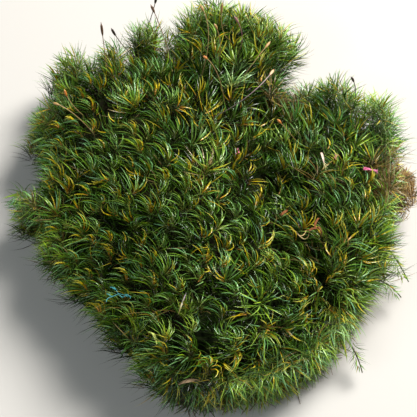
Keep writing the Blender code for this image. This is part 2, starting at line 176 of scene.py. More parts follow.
# Where shoots are withered: (x, y, radius, strength), in which 0.9 withers about half of the leaves and 1.3
# about three in four
DEAD_PATCHES = (
    (30, 42, 6, 0.9), (-2, 8, 4, 0.8), (-56, -2, 4, 0.6), (-62, 2, 3, 0.7), (-52, -14, 4, 0.5),
    (41, 8, 5, 0.6), (38, -17, 5, 0.5), (68, 11, 11, 1.3), (-9, -42, 4, 0.5), (-48, 30, 3, 0.7),
    (30, -19, 4, 0.4),
)

# The clump's outline as the viewer sees it, clockwise, in the plan at the height of the camera's target
OUTLINE = (
    (-9, 82.5), (7, 83), (21, 78.5), (32, 70), (35, 62), (30, 56), (26, 50), (31, 49), (36, 49), (43, 52),
    (51, 50), (58, 45), (65, 43), (71, 35), (72, 26), (74, 18), (74, 8), (73, 0), (71, -8), (67, -21),
    (63, -29), (58, -38), (54, -47), (48, -58), (41, -66), (33, -72), (20, -78), (6, -80), (-8, -80),
    (-16, -77), (-22, -69), (-30, -58), (-40, -48), (-47, -38), (-56, -30), (-62, -24), (-65, -15),
    (-69, -10), (-74, -6), (-72, 1), (-65, 5), (-62, 13), (-67, 19), (-70, 28), (-66, 38), (-62, 39),
    (-61, 48), (-60, 58), (-54, 63), (-45, 61), (-40, 66), (-32, 63), (-29, 75), (-20, 75), (-15, 69),
    (-11, 74),
)

# The rim stands this high where the viewer sees it, higher on the far side and lower on the near side
RIM_HEIGHT = 16
RIM_HEIGHT_CHANGE = 6

# Rows of shoots that lean out round the rim: height, how far inside it and how steeply they rise. The far
# side has more rows and is higher and steeper, with low rows too as far as FOOT_ROWS_END in the plan.
RIM_SPACING = 3.9
RIM_CLEARANCE = 3.3
RIM_ROWS = ((4.5, 3.8, -0.1), (10.0, 4.8, 0.3), (16.0, 5.2, 0.5), (22.0, 5.4, 0.9), (28.0, 6.0, 1.2))
FAR_ROWS = ((25.0, 5.2, 0.5), (31.0, 6.4, 0.8))
FOOT_ROWS = ((13.0, 2.0, 0.2), (19.0, 2.6, 0.4))
FOOT_ROWS_END = 62
FAR_SIDE = 0.25
FAR_LIFT = 3
FAR_RISE = 0.9

# Stalks with spore capsules: foot (x, y), a point half way up and the tip as (x, y, z), and the colours
STALKS = (
    ((-26, 54), (-31, 56, 38), (-35, 58, 47), "dark"),
    ((-37, 50), (-38, 56, 34), (-39, 63, 43), "brown"),
    ((-14, 52), (-17, 61, 40), (-21, 68, 47), "brown"),
    ((-24, 69), (-21, 70, 36), (-19, 73, 44), "dark"),
    ((-3, 45), (0, 54, 48), (-3, 62, 56), "tan"),
    ((6, 33), (3, 37, 51), (-2, 41, 56), "orange"),
    ((8, 60), (5, 61, 42), (5, 66, 52), "tan"),
    ((4, 52), (4, 55, 44), (2, 58, 50), "tan"),
    ((11, 54), (12, 56, 46), (9, 60, 52), "mauve"),
    ((2, 27), (14, 27, 53), (23, 38, 52), "cream"),
    ((9, 38), (15, 41, 49), (22, 50, 51), "tan"),
    ((31, 19), (27, 20, 42), (24, 22, 45), "orange"),
    ((-45, 29), (-49, 31, 41), (-51, 34, 45), "orange"),
    ((-41, 23), (-48, 26, 42), (-55, 29, 44), "tan"),
    ((53, 38), (53, 40, 35), (51, 42, 40), "dark"),
)
STALK_COLOURS = {
    "dark": ((0.10, 0.06, 0.035), (0.035, 0.02, 0.012), (0.05, 0.03, 0.02)),
    "brown": ((0.22, 0.13, 0.07), (0.14, 0.07, 0.035), (0.20, 0.11, 0.06)),
    "tan": ((0.40, 0.27, 0.10), (0.50, 0.29, 0.09), (0.58, 0.37, 0.14)),
    "orange": ((0.38, 0.24, 0.09), (0.62, 0.21, 0.03), (0.72, 0.36, 0.09)),
    "mauve": ((0.30, 0.12, 0.13), (0.30, 0.14, 0.12), (0.36, 0.18, 0.14)),
    "cream": ((0.40, 0.27, 0.28), (0.78, 0.50, 0.28), (0.74, 0.28, 0.07)),
}

# How deep a stalk is rooted, its radius and its capsule's length, in millimetres, in how many steps it bends,
# and how thick the capsule is at shares of its length
STALK_ROOT = 7.0
STALK_RADIUS = 0.15
STALK_STEPS = 14
CAPSULE_LENGTH = 3.7
CAPSULE_SHAPE = (
    (0.04, 0.17), (0.12, 0.31), (0.25, 0.43), (0.45, 0.50), (0.62, 0.48), (0.70, 0.43), (0.72, 0.48),
    (0.76, 0.38), (0.84, 0.22), (0.93, 0.11), (1.0, 0.05),
)

# Stray leafy shoots that lie out past the rim: root, a point half way and the tip, as (x, y, z)
SPRIGS = (
    ((64, -13, 13), (68, -18, 11), (72, -24, 7)),
    ((60, -25, 12), (65, -27, 10), (69, -30, 7)),
    ((49, -48, 11), (52, -53, 9), (54, -58, 6)),
)
SPRIG_LEAF_LENGTH = 5.5
SPRIG_SEED = 900

# The green of a shoot follows its place, with patches of this size in millimetres and some chance. Below
# LOW_HEIGHT shoots are lighter and smaller towards the foot, and low shoots under others are darker, as
# painted shade.
PATCH_SIZE = 11.0
PATCH_TONE = 0.20
TONE_SPREAD = 0.09
LOW_HEIGHT = 24
LOW_TONE = 0.05
LOW_SHRINK = 0.15
UNDER_PAINTED_SHADE = 0.4

# How light the green is, by place in the plan: (x, y, tone), partly the moss's own greens and partly painted
# light and shade: darkest in the hollows as painted shade, and lighter along the lower right rim as painted
# light glowing through the leaves. Below 0 it is the darkest green.
TONES = (
    (-40, 30, 0.44), (0, 64, 0.52), (22, 60, 0.54), (-18, 20, 0.38), (-20, -10, 0.39), (-20, -45, 0.47),
    (10, -50, 0.46), (47, -54, 0.62), (60, -36, 0.64), (67, -20, 0.60), (44, -28, 0.40), (28, -44, 0.38),
    (40, 0, 0.38), (52, 26, 0.44), (66, 28, 0.46), (-60, 0, 0.49), (-62, 34, 0.46), (-57, 58, 0.46),
    (12, -68, 0.52), (30, 48, 0.34), (18, 40, -0.25), (21, 9, -0.25), (15, 12, 0.05), (11, 51, 0.80),
    (0, 10, 0.56), (-9, 5, 0.48), (14, 22, 0.46), (25, 23, 0.52), (-28, -21, 0.28), (-49, 17, 0.26),
    (3, 47, 0.14), (-1, -75, 0.16), (40, -42, 0.62), (58, -10, 0.50), (6, -8, 0.42), (-38, -4, 0.46),
    (38, 18, 0.42),
)

# Hollows between the mounds, where no shoot ends: (x, y, radius)
HOLLOWS = ((18, 40, 4.4), (21, 9, 4.2))

# Star-shaped shoots that stand out: (x, y, tone, share of golden leaves, how far their leaves are swept)
STARS = (
    (10, 46.5, 0.86, 0.1, 0.55), (0.5, 7, 0.64, 0.35, 0.6), (19, -40, 0.58, 0.1, 0.45),
    (38, -46, 0.60, 0.4, 0.5), (5, -33, 0.43, 0.3, 0.9), (28, -2, 0.52, 0.2, 0.5),
    (-26, 36, 0.50, 0.4, 0.7), (-55, -4, 0.50, 0.3, 0.7),
)

# A star stands above the skin by STAR_LIFT, no full shoot stands nearer than STAR_ROOM, and it is the shoot
# whose tip is within STAR_RADIUS, in millimetres
STAR_RADIUS = 0.5
STAR_LIFT = 2.6
STAR_ROOM = 4.9
STAR_SIZE = 1.2
STAR_LEAVES = 36

# How a table of places is read: the nearest rows count most, by this power, and none counts all alone
NEAR_POWER = 1.6
NEAR_SOFTNESS = 9


# ---------------------------------------------------------------- objects and meshes


def placed(name, data):
    """A new object in the scene."""
    obj = bpy.data.objects.new(name, data)
    bpy.context.scene.collection.objects.link(obj)
    return obj


def mesh_of(name, bm):
    """A mesh from a bmesh, which is freed."""
    mesh = bpy.data.meshes.new(name)
    bm.to_mesh(mesh)
    bm.free()
    return mesh


def store_values(mesh, label, values):
    """Gives each point of the mesh its value, a number or a vector, under the label."""
    vector = isinstance(values[0], Vector)
    attribute = mesh.attributes.new(label, "FLOAT_VECTOR" if vector else "FLOAT", "POINT")
    flat = [part for value in values for part in value] if vector else values
    attribute.data.foreach_set("vector" if vector else "value", flat)


# What points carry only while a piece is made, and no finished piece keeps
CARRIED = (
    "axis", "rise", "sweep", "swept", "tone", "gold", "size", "dead", "shelter", "leaves", "start",
    "first_way", "middle_way", "last_way", "radial", "reach", "breadth", "shade", "side", "girth",
)


def made_plain(obj):
    """Gives the object its evaluated mesh and takes the modifiers off."""
    evaluated = obj.evaluated_get(bpy.context.evaluated_depsgraph_get())
    mesh = bpy.data.meshes.new_from_object(evaluated)
    mesh.name = obj.name
    obj.modifiers.clear()
    obj.data = mesh
    for attribute in list(mesh.attributes):
        if attribute.name in CARRIED:
            mesh.attributes.remove(attribute)
    return obj


# ---------------------------------------------------------------- formulas in node trees


class Wire:
    """A socket that can be reckoned with, so that a node tree reads as formulas."""

    def __init__(self, tree, socket):
        self.tree, self.socket = tree, socket

    @property
    def is_vector(self):
        return self.socket.type == "VECTOR"

    def __add__(self, other):
        return reckon("ADD", self, other)

    def __radd__(self, other):
        return reckon("ADD", other, self)

    def __sub__(self, other):
        return reckon("SUBTRACT", self, other)

    def __rsub__(self, other):
        return reckon("SUBTRACT", other, self)

    def __mul__(self, other):
        return reckon("MULTIPLY", self, other)

    def __rmul__(self, other):
        return reckon("MULTIPLY", self, other)

    def __truediv__(self, other):
        return reckon("DIVIDE", self, other)


def plug(socket, value):
    """Joins a wire to a socket, or sets the socket to a plain value."""
    if isinstance(value, Wire):
        value.tree.links.new(value.socket, socket)
    else:
        socket.default_value = value


def is_vector(value):
    return value.is_vector if isinstance(value, Wire) else not isinstance(value, (int, float))


def tree_of(values):
    return next(value.tree for value in values if isinstance(value, Wire))


def reckon(operation, *values):
    """A Math or Vector Math node on the values, one of which is a wire."""
    tree = tree_of(values)
    if not any(is_vector(v) for v in values):
        node = tree.nodes.new("ShaderNodeMath")
        node.operation = operation
        for socket, value in zip(node.inputs, values):
            plug(socket, value)
        return Wire(tree, node.outputs[0])
    node = tree.nodes.new("ShaderNodeVectorMath")
    if operation == "MULTIPLY" and not all(is_vector(v) for v in values):
        node.operation = "SCALE"
        vector, number = values if is_vector(values[0]) else values[::-1]
        plug(node.inputs[0], vector)
        plug(node.inputs["Scale"], number)
        return Wire(tree, node.outputs["Vector"])
    node.operation = operation
    for socket, value in zip(node.inputs, values):
        plug(socket, value)
    return Wire(tree, node.outputs["Value" if operation in ("DOT_PRODUCT", "LENGTH") else "Vector"])


def blend(first, last, share):
    return first + share * (last - first)


def unit(vector):
    return reckon("NORMALIZE", vector)


def cross(a, b):
    return reckon("CROSS_PRODUCT", a, b)


def dot(a, b):
    return reckon("DOT_PRODUCT", a, b)


def parts_of(vector):
    node = vector.tree.nodes.new("ShaderNodeSeparateXYZ")
    plug(node.inputs[0], vector)
    return [Wire(vector.tree, out) for out in node.outputs]


def vector_of(*parts):
    tree = tree_of(parts)
    node = tree.nodes.new("ShaderNodeCombineXYZ")
    for socket, value in zip(node.inputs, parts):
        plug(socket, value)
    return Wire(tree, node.outputs[0])


class Grower:
    """A Geometry Nodes tree with named inputs, built from formulas."""

    KINDS = {
        "number": "NodeSocketFloat", "count": "NodeSocketInt", "object": "NodeSocketObject",
        "material": "NodeSocketMaterial",
    }

    def __init__(self, name, **inputs):
        self.tree = bpy.data.node_groups.new(name, "GeometryNodeTree")
        face = self.tree.interface
        face.new_socket("Geometry", in_out="INPUT", socket_type="NodeSocketGeometry")
        face.new_socket("Geometry", in_out="OUTPUT", socket_type="NodeSocketGeometry")
        for label, kind in inputs.items():
            face.new_socket(label, in_out="INPUT", socket_type=self.KINDS[kind])
        entry = self.tree.nodes.new("NodeGroupInput")
        self.given = {out.name: Wire(self.tree, out) for out in entry.outputs if out.name}
        self.draws = 0

    def node(self, kind, output=0, settings=None, **inputs):
        made = self.tree.nodes.new(kind)
        for key, value in (settings or {}).items():
            setattr(made, key, value)
        for label, value in inputs.items():
            plug(made.inputs[label.replace("_", " ")], value)
        return Wire(self.tree, made.outputs[output])

    def random(self, low, high):
        """A draw of its own for every point, between two numbers or two vectors."""
        self.draws += 1
        made = self.tree.nodes.new("FunctionNodeRandomValue")
        made.data_type = "FLOAT_VECTOR" if is_vector(low) else "FLOAT"
        live = [socket for socket in made.inputs if socket.enabled]
        plug(live[0], low)
        plug(live[1], high)
        plug(made.inputs["Seed"], self.given["seed"] + self.draws)
        return Wire(self.tree, next(out for out in made.outputs if out.enabled))

    def read(self, name, kind="FLOAT"):
        made = self.tree.nodes.new("GeometryNodeInputNamedAttribute")
        made.data_type = kind
        made.inputs["Name"].default_value = name
        return Wire(self.tree, next(out for out in made.outputs if out.enabled))

    def store(self, shape, name, value, kind=None, domain="POINT"):
        made = self.tree.nodes.new("GeometryNodeStoreNamedAttribute")
        made.data_type = kind or ("FLOAT_VECTOR" if value.is_vector else "FLOAT")
        made.domain = domain
        plug(made.inputs["Geometry"], shape)
        made.inputs["Name"].default_value = name
        plug(next(s for s in made.inputs if s.enabled and s.name == "Value"), value)
        return Wire(self.tree, made.outputs["Geometry"])

    def finish(self, shape):
        shape = self.node("GeometryNodeRealizeInstances", Geometry=shape)
        shape = self.node("GeometryNodeSetMaterial", Geometry=shape, Material=self.given["finish"])
        exit_node = self.tree.nodes.new("NodeGroupOutput")
        plug(exit_node.inputs[0], shape)

    def grow(self, name, seedbed, **values):
        """Runs the tree on a seedbed mesh and returns the result as a plain object."""
        obj = placed(name, seedbed)
        modifier = obj.modifiers.new("grow", "NODES")
        modifier.node_group = self.tree
        labels = {item.name: item.identifier for item in self.tree.interface.items_tree}
        for label, value in values.items():
            modifier[labels[label]] = value
        return made_plain(obj)


# ---------------------------------------------------------------- places


def frame_place(x, y, z=0.0):
    """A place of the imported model, in metres, from a place in the plan in millimetres."""
    return (Vector((x, y, z)) - PLAN_MIDDLE) * MM


def plan_place(point):
    return point / MM + PLAN_MIDDLE


def near_share(x, y, rows):
    """How much each row of a table of places counts at (x, y)."""
    weights = [1 / ((row[0] - x) ** 2 + (row[1] - y) ** 2 + NEAR_SOFTNESS) ** NEAR_POWER for row in rows]
    whole = sum(weights)
    return [weight / whole for weight in weights]


def headings_at(x, y):
    """The level ways in which leaves rise and end at a place in the plan."""
    rise, end = Vector(), Vector()
    for share, (_, _, rise_heading, end_heading) in zip(near_share(x, y, SWEEPS), SWEEPS):
        rise += level_way(rise_heading) * share
        end += level_way(end_heading) * share
    return rise.normalized(), end.normalized()


def level_way(heading):
    turn = math.radians(heading)
    return Vector((math.cos(turn), math.sin(turn), 0))


def tone_at(x, y):
    return sum(share * row[2] for share, row in zip(near_share(x, y, TONES), TONES))


def real_rim():
    """The outline's corners in the plan, where the rim of the clump really stands."""
    corners = []
    slant = 1 / math.tan(math.radians(CAMERA_ELEVATION))
    for at, (x, y) in enumerate(OUTLINE):
        before, after = Vector(OUTLINE[at - 1]), Vector(OUTLINE[(at + 1) % len(OUTLINE)])
        facing = (after - before).normalized().x
        seen_height = RIM_HEIGHT + RIM_HEIGHT_CHANGE * facing
        corners.append(Vector((x, y + (CAMERA_TARGET[2] - seen_height) * slant, 0)))
    return corners


RIM = real_rim()


def rim_sides():
    return list(zip(RIM, RIM[1:] + RIM[:1]))


RIM_SIDES = [(a.x, a.y, b.x - a.x, b.y - a.y) for a, b in rim_sides()]


def way_past_rim(spot):
    """How far a place in the plan lies past the rim, less than nothing inside it, and the way out there."""
    x, y = spot.x, spot.y
    nearest, inside = (math.inf, 0.0, 0.0, 0.0, 0.0), False
    for start_x, start_y, side_x, side_y in RIM_SIDES:
        share = ((x - start_x) * side_x + (y - start_y) * side_y) / (side_x * side_x + side_y * side_y)
        share = min(max(share, 0.0), 1.0)
        gap_x, gap_y = x - start_x - side_x * share, y - start_y - side_y * share
        nearest = min(nearest, (math.hypot(gap_x, gap_y), gap_x, gap_y, side_x, side_y))
        if (start_y > y) != (start_y + side_y > y) and x < start_x + side_x * (y - start_y) / side_y:
            inside = not inside
    distance, gap_x, gap_y, side_x, side_y = nearest
    on_rim = 0.3
    if distance < on_rim:
        out = Vector((-side_y, side_x, 0)).normalized()
    else:
        out = Vector((gap_x, gap_y, 0)).normalized() * (-1 if inside else 1)
    return (-distance if inside else distance), out


def drawn_inside(point, inset, towards_viewer=0.0):
    """The point, moved level until it is at least this many millimetres inside the rim.

    On the side that faces the viewer the inset is larger by the last number, and on the far side smaller."""
    most_steps, longest_step, close_enough = 12, 1.2, 0.05
    for _ in range(most_steps):
        past, out = way_past_rim(plan_place(point))
        left = past + inset - out.y * towards_viewer
        if left < close_enough:
            break
        point = point - out * min(left, longest_step) * MM
    return point


def merged_copy(node):
    """A bmesh of a CAD node with its loose corners joined, and the node left as it is."""
    bm = bmesh.new()
    bm.from_mesh(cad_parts[node].data)
    bmesh.ops.remove_doubles(bm, verts=bm.verts, dist=0.01 * MM)
    bm.normal_update()
    return bm


def top_of_skin(x, y):
    """How high the cushions' skin stands over a place in the plan, in millimetres, and the cushion it is."""
    heights = []
    above_all = frame_place(x, y, 100)
    for node in CUSHIONS:
        bm = merged_copy(node)
        hit = BVHTree.FromBMesh(bm).ray_cast(above_all, -UP)[0]
        bm.free()
        if hit:
            heights.append((plan_place(hit).z, node))
    return max(heights)


# ---------------------------------------------------------------- leafy shoots


def in_hollow(place):
    return any(math.hypot(place.x - x, place.y - y) < radius for x, y, radius in HOLLOWS)


def star_at(place, radius=STAR_RADIUS):
    return next((row for row in STARS if math.hypot(place.x - row[0], place.y - row[1]) < radius), None)


def shoot_tips(node, taken):
    """Where shoots end: at points of a cushion's skin, and lower down between them.

    Each comes with the smoothed way out of the cushion there, and whether it is one of the low ones. Points
    come first, then valleys, then plain slopes, and full shoots keep their distance from those in taken."""
    bm = merged_copy(node)
    ways = KDTree(len(bm.verts))
    for vert in bm.verts:
        ways.insert(vert.co, vert.index)
    ways.balance()
    bm.verts.ensure_lookup_table()
    points, valleys, slopes = [], [], []
    for vert in bm.verts:
        around = [edge.other_vert(vert).co for edge in vert.link_edges]
        lift = (vert.co - sum(around, Vector()) / len(around)).dot(vert.normal)
        near = ways.find_range(vert.co, WAY_RADIUS * MM)
        way = sum((bm.verts[index].normal for _, index, _ in near), Vector()).normalized()
        if lift > TIP_LIFT * MM:
            points.append((vert.co.copy(), way))
        elif lift < -TIP_LIFT * MM:
            valleys.append((vert.co + way * VALLEY_LIFT * MM, way))
        else:
            slopes.append((vert.co.copy(), way))
    bm.free()
    for x, y, *_ in STARS:
        height, carrier = top_of_skin(x, y)
        if carrier == node:
            tip = frame_place(x, y, height + STAR_LIFT)
            points.insert(0, (tip, min(points, key=lambda point: (point[0] - tip).length)[1]))
    tips, low_ones = [], []
    for tip, way in points + valleys + slopes:
        tip = drawn_inside(tip, TIP_INSET if node in CUSHIONS else TUFT_INSET, TIP_SLANT)
        place = plan_place(tip)
        if place.z < LOWEST_SHOOT or in_hollow(place):
            continue
        clear_of_stars = star_at(place) or not star_at(place, STAR_ROOM)
        if clear_of_stars and all((tip - other).length > TIP_SPACING * MM for other in taken):
            taken.append(tip)
            tips.append((tip, way, False))
        else:
            low_ones.append((tip - way * UNDER_DEPTH * MM, way, True))
    under = []
    for low_one in low_ones:
        if all((low_one[0] - other[0]).length > UNDER_SPACING * MM for other in tips + under):
            under.append(low_one)
    return tips + under


def rim_tips(taken):
    """Shoots that lean out round the foot of the clump."""
    tips = []
    for a, b in rim_sides():
        side = b - a
        out = Vector((-side.y, side.x, 0)).normalized()
        steps = max(1, round(side.length / RIM_SPACING))
        far_side = max(out.y, 0.0)
        rows = [(0.5, *row) for row in RIM_ROWS]
        if far_side > FAR_SIDE:
            rows += [(1.0, *row) for row in FAR_ROWS]
        if far_side > FAR_SIDE and a.y < FOOT_ROWS_END:
            rows += [(1.0, *row) for row in FOOT_ROWS]
        for step in range(steps):
            for offset, height, inset, upward in rows:
                spot = a + side * ((step + offset) / steps) - out * (inset - far_side)
                tip = frame_place(spot.x, spot.y, height + FAR_LIFT * far_side)
                if all((tip - other).length > RIM_CLEARANCE * MM for other in taken):
                    taken.append(tip)
                    rising = upward + FAR_RISE * far_side
                    tips.append((tip, (out + UP * rising).normalized(), False))
    return tips


def turned(vector, degrees):
    return Matrix.Rotation(math.radians(degrees), 3, "Z") @ vector


def dead_share(x, y):
    """How withered shoots are at a place in the plan."""
    strengths = [strength for px, py, radius, strength in DEAD_PATCHES if math.hypot(x - px, y - py) < radius]
    return max(strengths, default=0.0)


def seedbed(name, tips, rng, rim=False):
    """A mesh of one point for each shoot, which carries how the shoot grows."""
    spots, shoots = [], []
    for tip, way, under in tips:
        place = plan_place(tip)
        rise, sweep = headings_at(place.x, place.y)
        if rng.random() < MIRRORED_SHARE:
            rise, sweep = sweep, rise
        off = rng.gauss(0, HEADING_SPREAD)
        rise, sweep = turned(rise, off), turned(sweep, off + rng.gauss(0, SWEEP_SPREAD))
        if rim:
            out = Vector((way.x, way.y, 0)).normalized()
            rise = turned(out, rng.gauss(RIM_TURN, RIM_SPREAD))
            sweep = (sweep * 0.5 + turned(out, rng.gauss(0, RIM_SPREAD))).normalized()
            axis = way + rise * rng.uniform(*RIM_LEAN)
        else:
            lean = 0.35 + 0.5 * (1 - way.z)
            axis = UP * (1 - lean) + way * lean + rise * rng.uniform(*SHOOT_LEAN)
        axis.normalize()
        size = rng.uniform(*SHOOT_SIZE) * (RIM_SIZE if rim else 1.0)
        low = max(0.0, 1 - place.z / LOW_HEIGHT)
        star = None if under else star_at(place)
        rosette = rng.random() < ROSETTE_SHARE or star
        swept = rng.uniform(*ROSETTE_SWEPT if rosette else PLAIN_SWEPT) * (RIM_SWEPT if rim else 1.0)
        patch = noise.noise(place / PATCH_SIZE)
        tone = tone_at(place.x, place.y) + rng.uniform(-TONE_SPREAD, TONE_SPREAD)
        tone = tone + LOW_TONE * low + PATCH_TONE * patch
        gold = rng.choice(GOLD_SHARES)
        if star:
            size = STAR_SIZE
            axis = (UP + way * 0.4 + rise * 0.7).normalized()
            tone, gold, swept = star[2:]
        spots.append(tip - axis * APEX_DEPTH * size * MM)
        shoots.append({
            "axis": axis, "rise": rise, "sweep": sweep, "swept": swept,
            "tone": tone * (UNDER_PAINTED_SHADE if under else 1.0),
            "gold": 0.0 if under else gold,
            "size": size * (1 - LOW_SHRINK * low),
            "dead": dead_share(place.x, place.y),
            "shelter": RIM_SHELTER if rim else 1.0,
            "leaves": RIM_LEAVES if rim else UNDER_LEAVES if under else STAR_LEAVES if star else LEAVES,
        })
    mesh = bpy.data.meshes.new(name)
    mesh.from_pydata(spots, [], [])
    for label in shoots[0]:
        store_values(mesh, label, [shoot[label] for shoot in shoots])
    return mesh


def leaf_pattern():
    """One straight leaf from x = 0 to 1, pointed at both ends, ridged above and flat below."""
    corners = [(0, 0, 0)]
    for share, width in LEAF_RINGS:
        corners += [(share, width, 0), (share, -width, 0), (share, 0, LEAF_RIDGE * width)]
    corners.append((1, 0, 0))
    last = len(corners) - 1
    last_foot = 1 + 3 * (len(LEAF_RINGS) - 1)
    # Each corner of a face says where it lies across the leaf, from -1 to 1, for the leaf's map
    faces, sides = [], []
    for side in range(3):
        after = (side + 1) % 3
        here, there = (side - 1.0, side + 0.0) if side < 2 else (1.0, -1.0)
        faces.append((0, 1 + after, 1 + side))
        sides += [here, there, here]
        for foot in range(1, last_foot, 3):
            faces.append((foot + side, foot + after, foot + 3 + after, foot + 3 + side))
            sides += [here, there, there, here]
        faces.append((last_foot + side, last_foot + after, last))
        sides += [here, there, here]
    mesh = bpy.data.meshes.new("leaf_pattern")
    mesh.from_pydata(corners, [], [face[::-1] for face in faces])
    mesh.shade_smooth()
    # The rim of the leaf is sharp, but not the edges that run across its flat underside
    on_rim = [all(abs(corners[at][2]) < 1e-6 for at in edge.vertices) for edge in mesh.edges]
    across = [corners[e.vertices[0]][1] * corners[e.vertices[1]][1] < 0 for e in mesh.edges]
    sharp = mesh.attributes.new("sharp_edge", "BOOLEAN", "EDGE")
    sharp.data.foreach_set("value", [rim and not over for rim, over in zip(on_rim, across)])
    mesh.attributes.new("side", "FLOAT", "CORNER").data.foreach_set("value", sides)
    return bpy.data.objects.new("leaf_pattern", mesh)


def leafy_shoots():
    """A tree that grows a spiral of curved leaves, all swept to one side, down each shoot from its tip."""
    g = Grower(
        "leafy shoots", pattern="object", leaf_length="number", half_width="number", leafy_stem="number",
        stem_radius="number", youngest="number", oldest="number", unruly="number", floor="number",
        seed="count", finish="material",
    )
    given = g.given
    shape = g.node(
        "GeometryNodeDuplicateElements", settings={"domain": "POINT"}, Geometry=given["Geometry"],
        Amount=g.read("leaves"),
    )
    index = Wire(g.tree, shape.socket.node.outputs["Duplicate Index"])
    axis, sweep = g.read("axis", "FLOAT_VECTOR"), g.read("sweep", "FLOAT_VECTOR")
    size = g.read("size")
    # A leaf's age is 0 at the tip of the shoot and 1 at the lowest leaf
    age = (index + g.random(0.0, 1.0)) / g.read("leaves")
    turn = index * GOLDEN_ANGLE + g.random(-0.5, 0.5)

    # Each leaf leaves the stem one way, bends through a middle way and ends another way
    across = unit(cross(axis, sweep))
    front = cross(across, axis)
    radial = front * reckon("COSINE", turn) + across * reckon("SINE", turn)
    opening = blend(given["youngest"], given["oldest"], age) * g.random(0.7, 1.3)
    swept, rise = g.read("swept"), g.read("rise", "FLOAT_VECTOR")
    first = unit(axis * reckon("COSINE", opening) + radial * reckon("SINE", opening) - sweep * (0.3 * swept))
    stray = g.random((-1.0, -1.0, -1.0), (1.0, 1.0, 1.0)) * given["unruly"]
    last = sweep * (1.5 * swept) - rise * (0.3 * swept) + radial * (1.10 - 0.55 * swept) + stray
    last = unit(last - vector_of(0.0, 0.0, 0.2 * age))
    middle = unit(first + last)
    growth = 0.70 + age * (1.15 - 0.85 * age)
    reach = given["leaf_length"] * size * growth * g.random(0.85, 1.15)
    start = g.node("GeometryNodeInputPosition") - axis * (given["leafy_stem"] * age)
    start = start + radial * given["stem_radius"]

    # Young leaves on the outer side turn golden most often, and those low on the shoot are withered or
    # darkened as painted shade, less on rim shoots
    young = reckon("MAXIMUM", 1 - age * 1.5, 0.05)
    outer_side = reckon("MAXIMUM", 0.75 - dot(radial, sweep), 0.1)
    golden = reckon("LESS_THAN", g.random(0.0, 1.0), g.read("gold") * young * outer_side)
    # Chance makes some leaves lighter, and the lightest stop at a cap that often falls among the bluish
    # greens of the leaf's colours, a painted sheen
    light = reckon("POWER", g.random(0.0, 1.0), 2.4) * 0.56
    shaded = reckon("MINIMUM", reckon("MAXIMUM", age * 2.6 - 1.1, 0.0), 1.0) * g.read("shelter")
    green = (g.read("tone") + light + g.random(-0.22, 0.04)) * (1 - 0.95 * shaded)
    green = reckon("MAXIMUM", green, 0.0)
    green = reckon("MINIMUM", green, g.read("tone") * 0.2 + 0.485)
    withered = reckon("LESS_THAN", g.random(0.75, 2.6), age + g.read("dead") * 1.3)
    shade = blend(blend(green, g.random(0.76, 0.90), golden), g.random(0.92, 0.985), withered)
    breadth = given["half_width"] * size * g.random(0.7, 1.25) * (1 + 0.2 * golden)

    for label, value in (
        ("start", start), ("first_way", first), ("middle_way", middle), ("last_way", last),
        ("radial", radial), ("reach", reach), ("breadth", breadth), ("shade", shade),
    ):
        shape = g.store(shape, label, value)
    shape = g.node("GeometryNodeSetPosition", Geometry=shape, Position=Vector((0, 0, 0)))
    pattern = g.node("GeometryNodeObjectInfo", output="Geometry", Object=given["pattern"])
    shape = g.node("GeometryNodeInstanceOnPoints", Points=shape, Instance=pattern)
    shape = g.node("GeometryNodeRealizeInstances", Geometry=shape)

    # The straight leaf is laid on its curve: its map first, then the curve's place and way at each point
    along, wide, thick = parts_of(g.node("GeometryNodeInputPosition"))
    tone = g.read("shade") + g.read("side") * SIDE_STEP
    shape = g.store(shape, BAKE_MAP, vector_of(along, tone, 0.0), "FLOAT2", "CORNER")
    axis, radial = g.read("axis", "FLOAT_VECTOR"), g.read("radial", "FLOAT_VECTOR")
    ways = [g.read(label, "FLOAT_VECTOR") for label in ("first_way", "middle_way", "last_way")]
    left = 1 - along
    shares = (left * left, along * left * 2, along * along)
    way = unit(ways[0] * shares[0] + ways[1] * shares[1] + ways[2] * shares[2])
    third = along * along * along / 3
    covered = ((1 - left * left * left) / 3, along * along - third * 2, third)
    arc = ways[0] * covered[0] + ways[1] * covered[1] + ways[2] * covered[2]
    spine = g.read("start", "FLOAT_VECTOR") + arc * g.read("reach")
    upright = dot(way, axis)
    level = reckon("SQRT", reckon("MAXIMUM", 1 - upright * upright, 0.0))
    sideways = unit(cross(way, axis * level - radial * upright))
    above = cross(sideways, way)
    place = spine + (sideways * wide + above * thick) * g.read("breadth")
    x, y, z = parts_of(place)
    # No leaf dips below the floor, and its ridge stays above its underside there
    lowest = given["floor"] + thick * 0.0001 + 0.0001
    place = vector_of(x, y, reckon("MAXIMUM", z, lowest))
    shape = g.node("GeometryNodeSetPosition", Geometry=shape, Position=place)
    g.finish(shape)
    return g


# ---------------------------------------------------------------- stalks, stems and threads


def rods():
    """A tree that sleeves lines of points in round rods, as thick as each point says."""
    g = Grower("rods", sides="count", finish="material")
    line = g.node("GeometryNodeMeshToCurve", Mesh=g.given["Geometry"])
    ring = g.node("GeometryNodeCurvePrimitiveCircle", Resolution=g.given["sides"], Radius=1.0)
    shape = g.node(
        "GeometryNodeCurveToMesh", Curve=line, Profile_Curve=ring, Scale=g.read("girth"), Fill_Caps=True,
    )
    shape = g.node("GeometryNodeSetShadeSmooth", Geometry=shape)
    g.finish(shape)
    return g


RODS = rods()


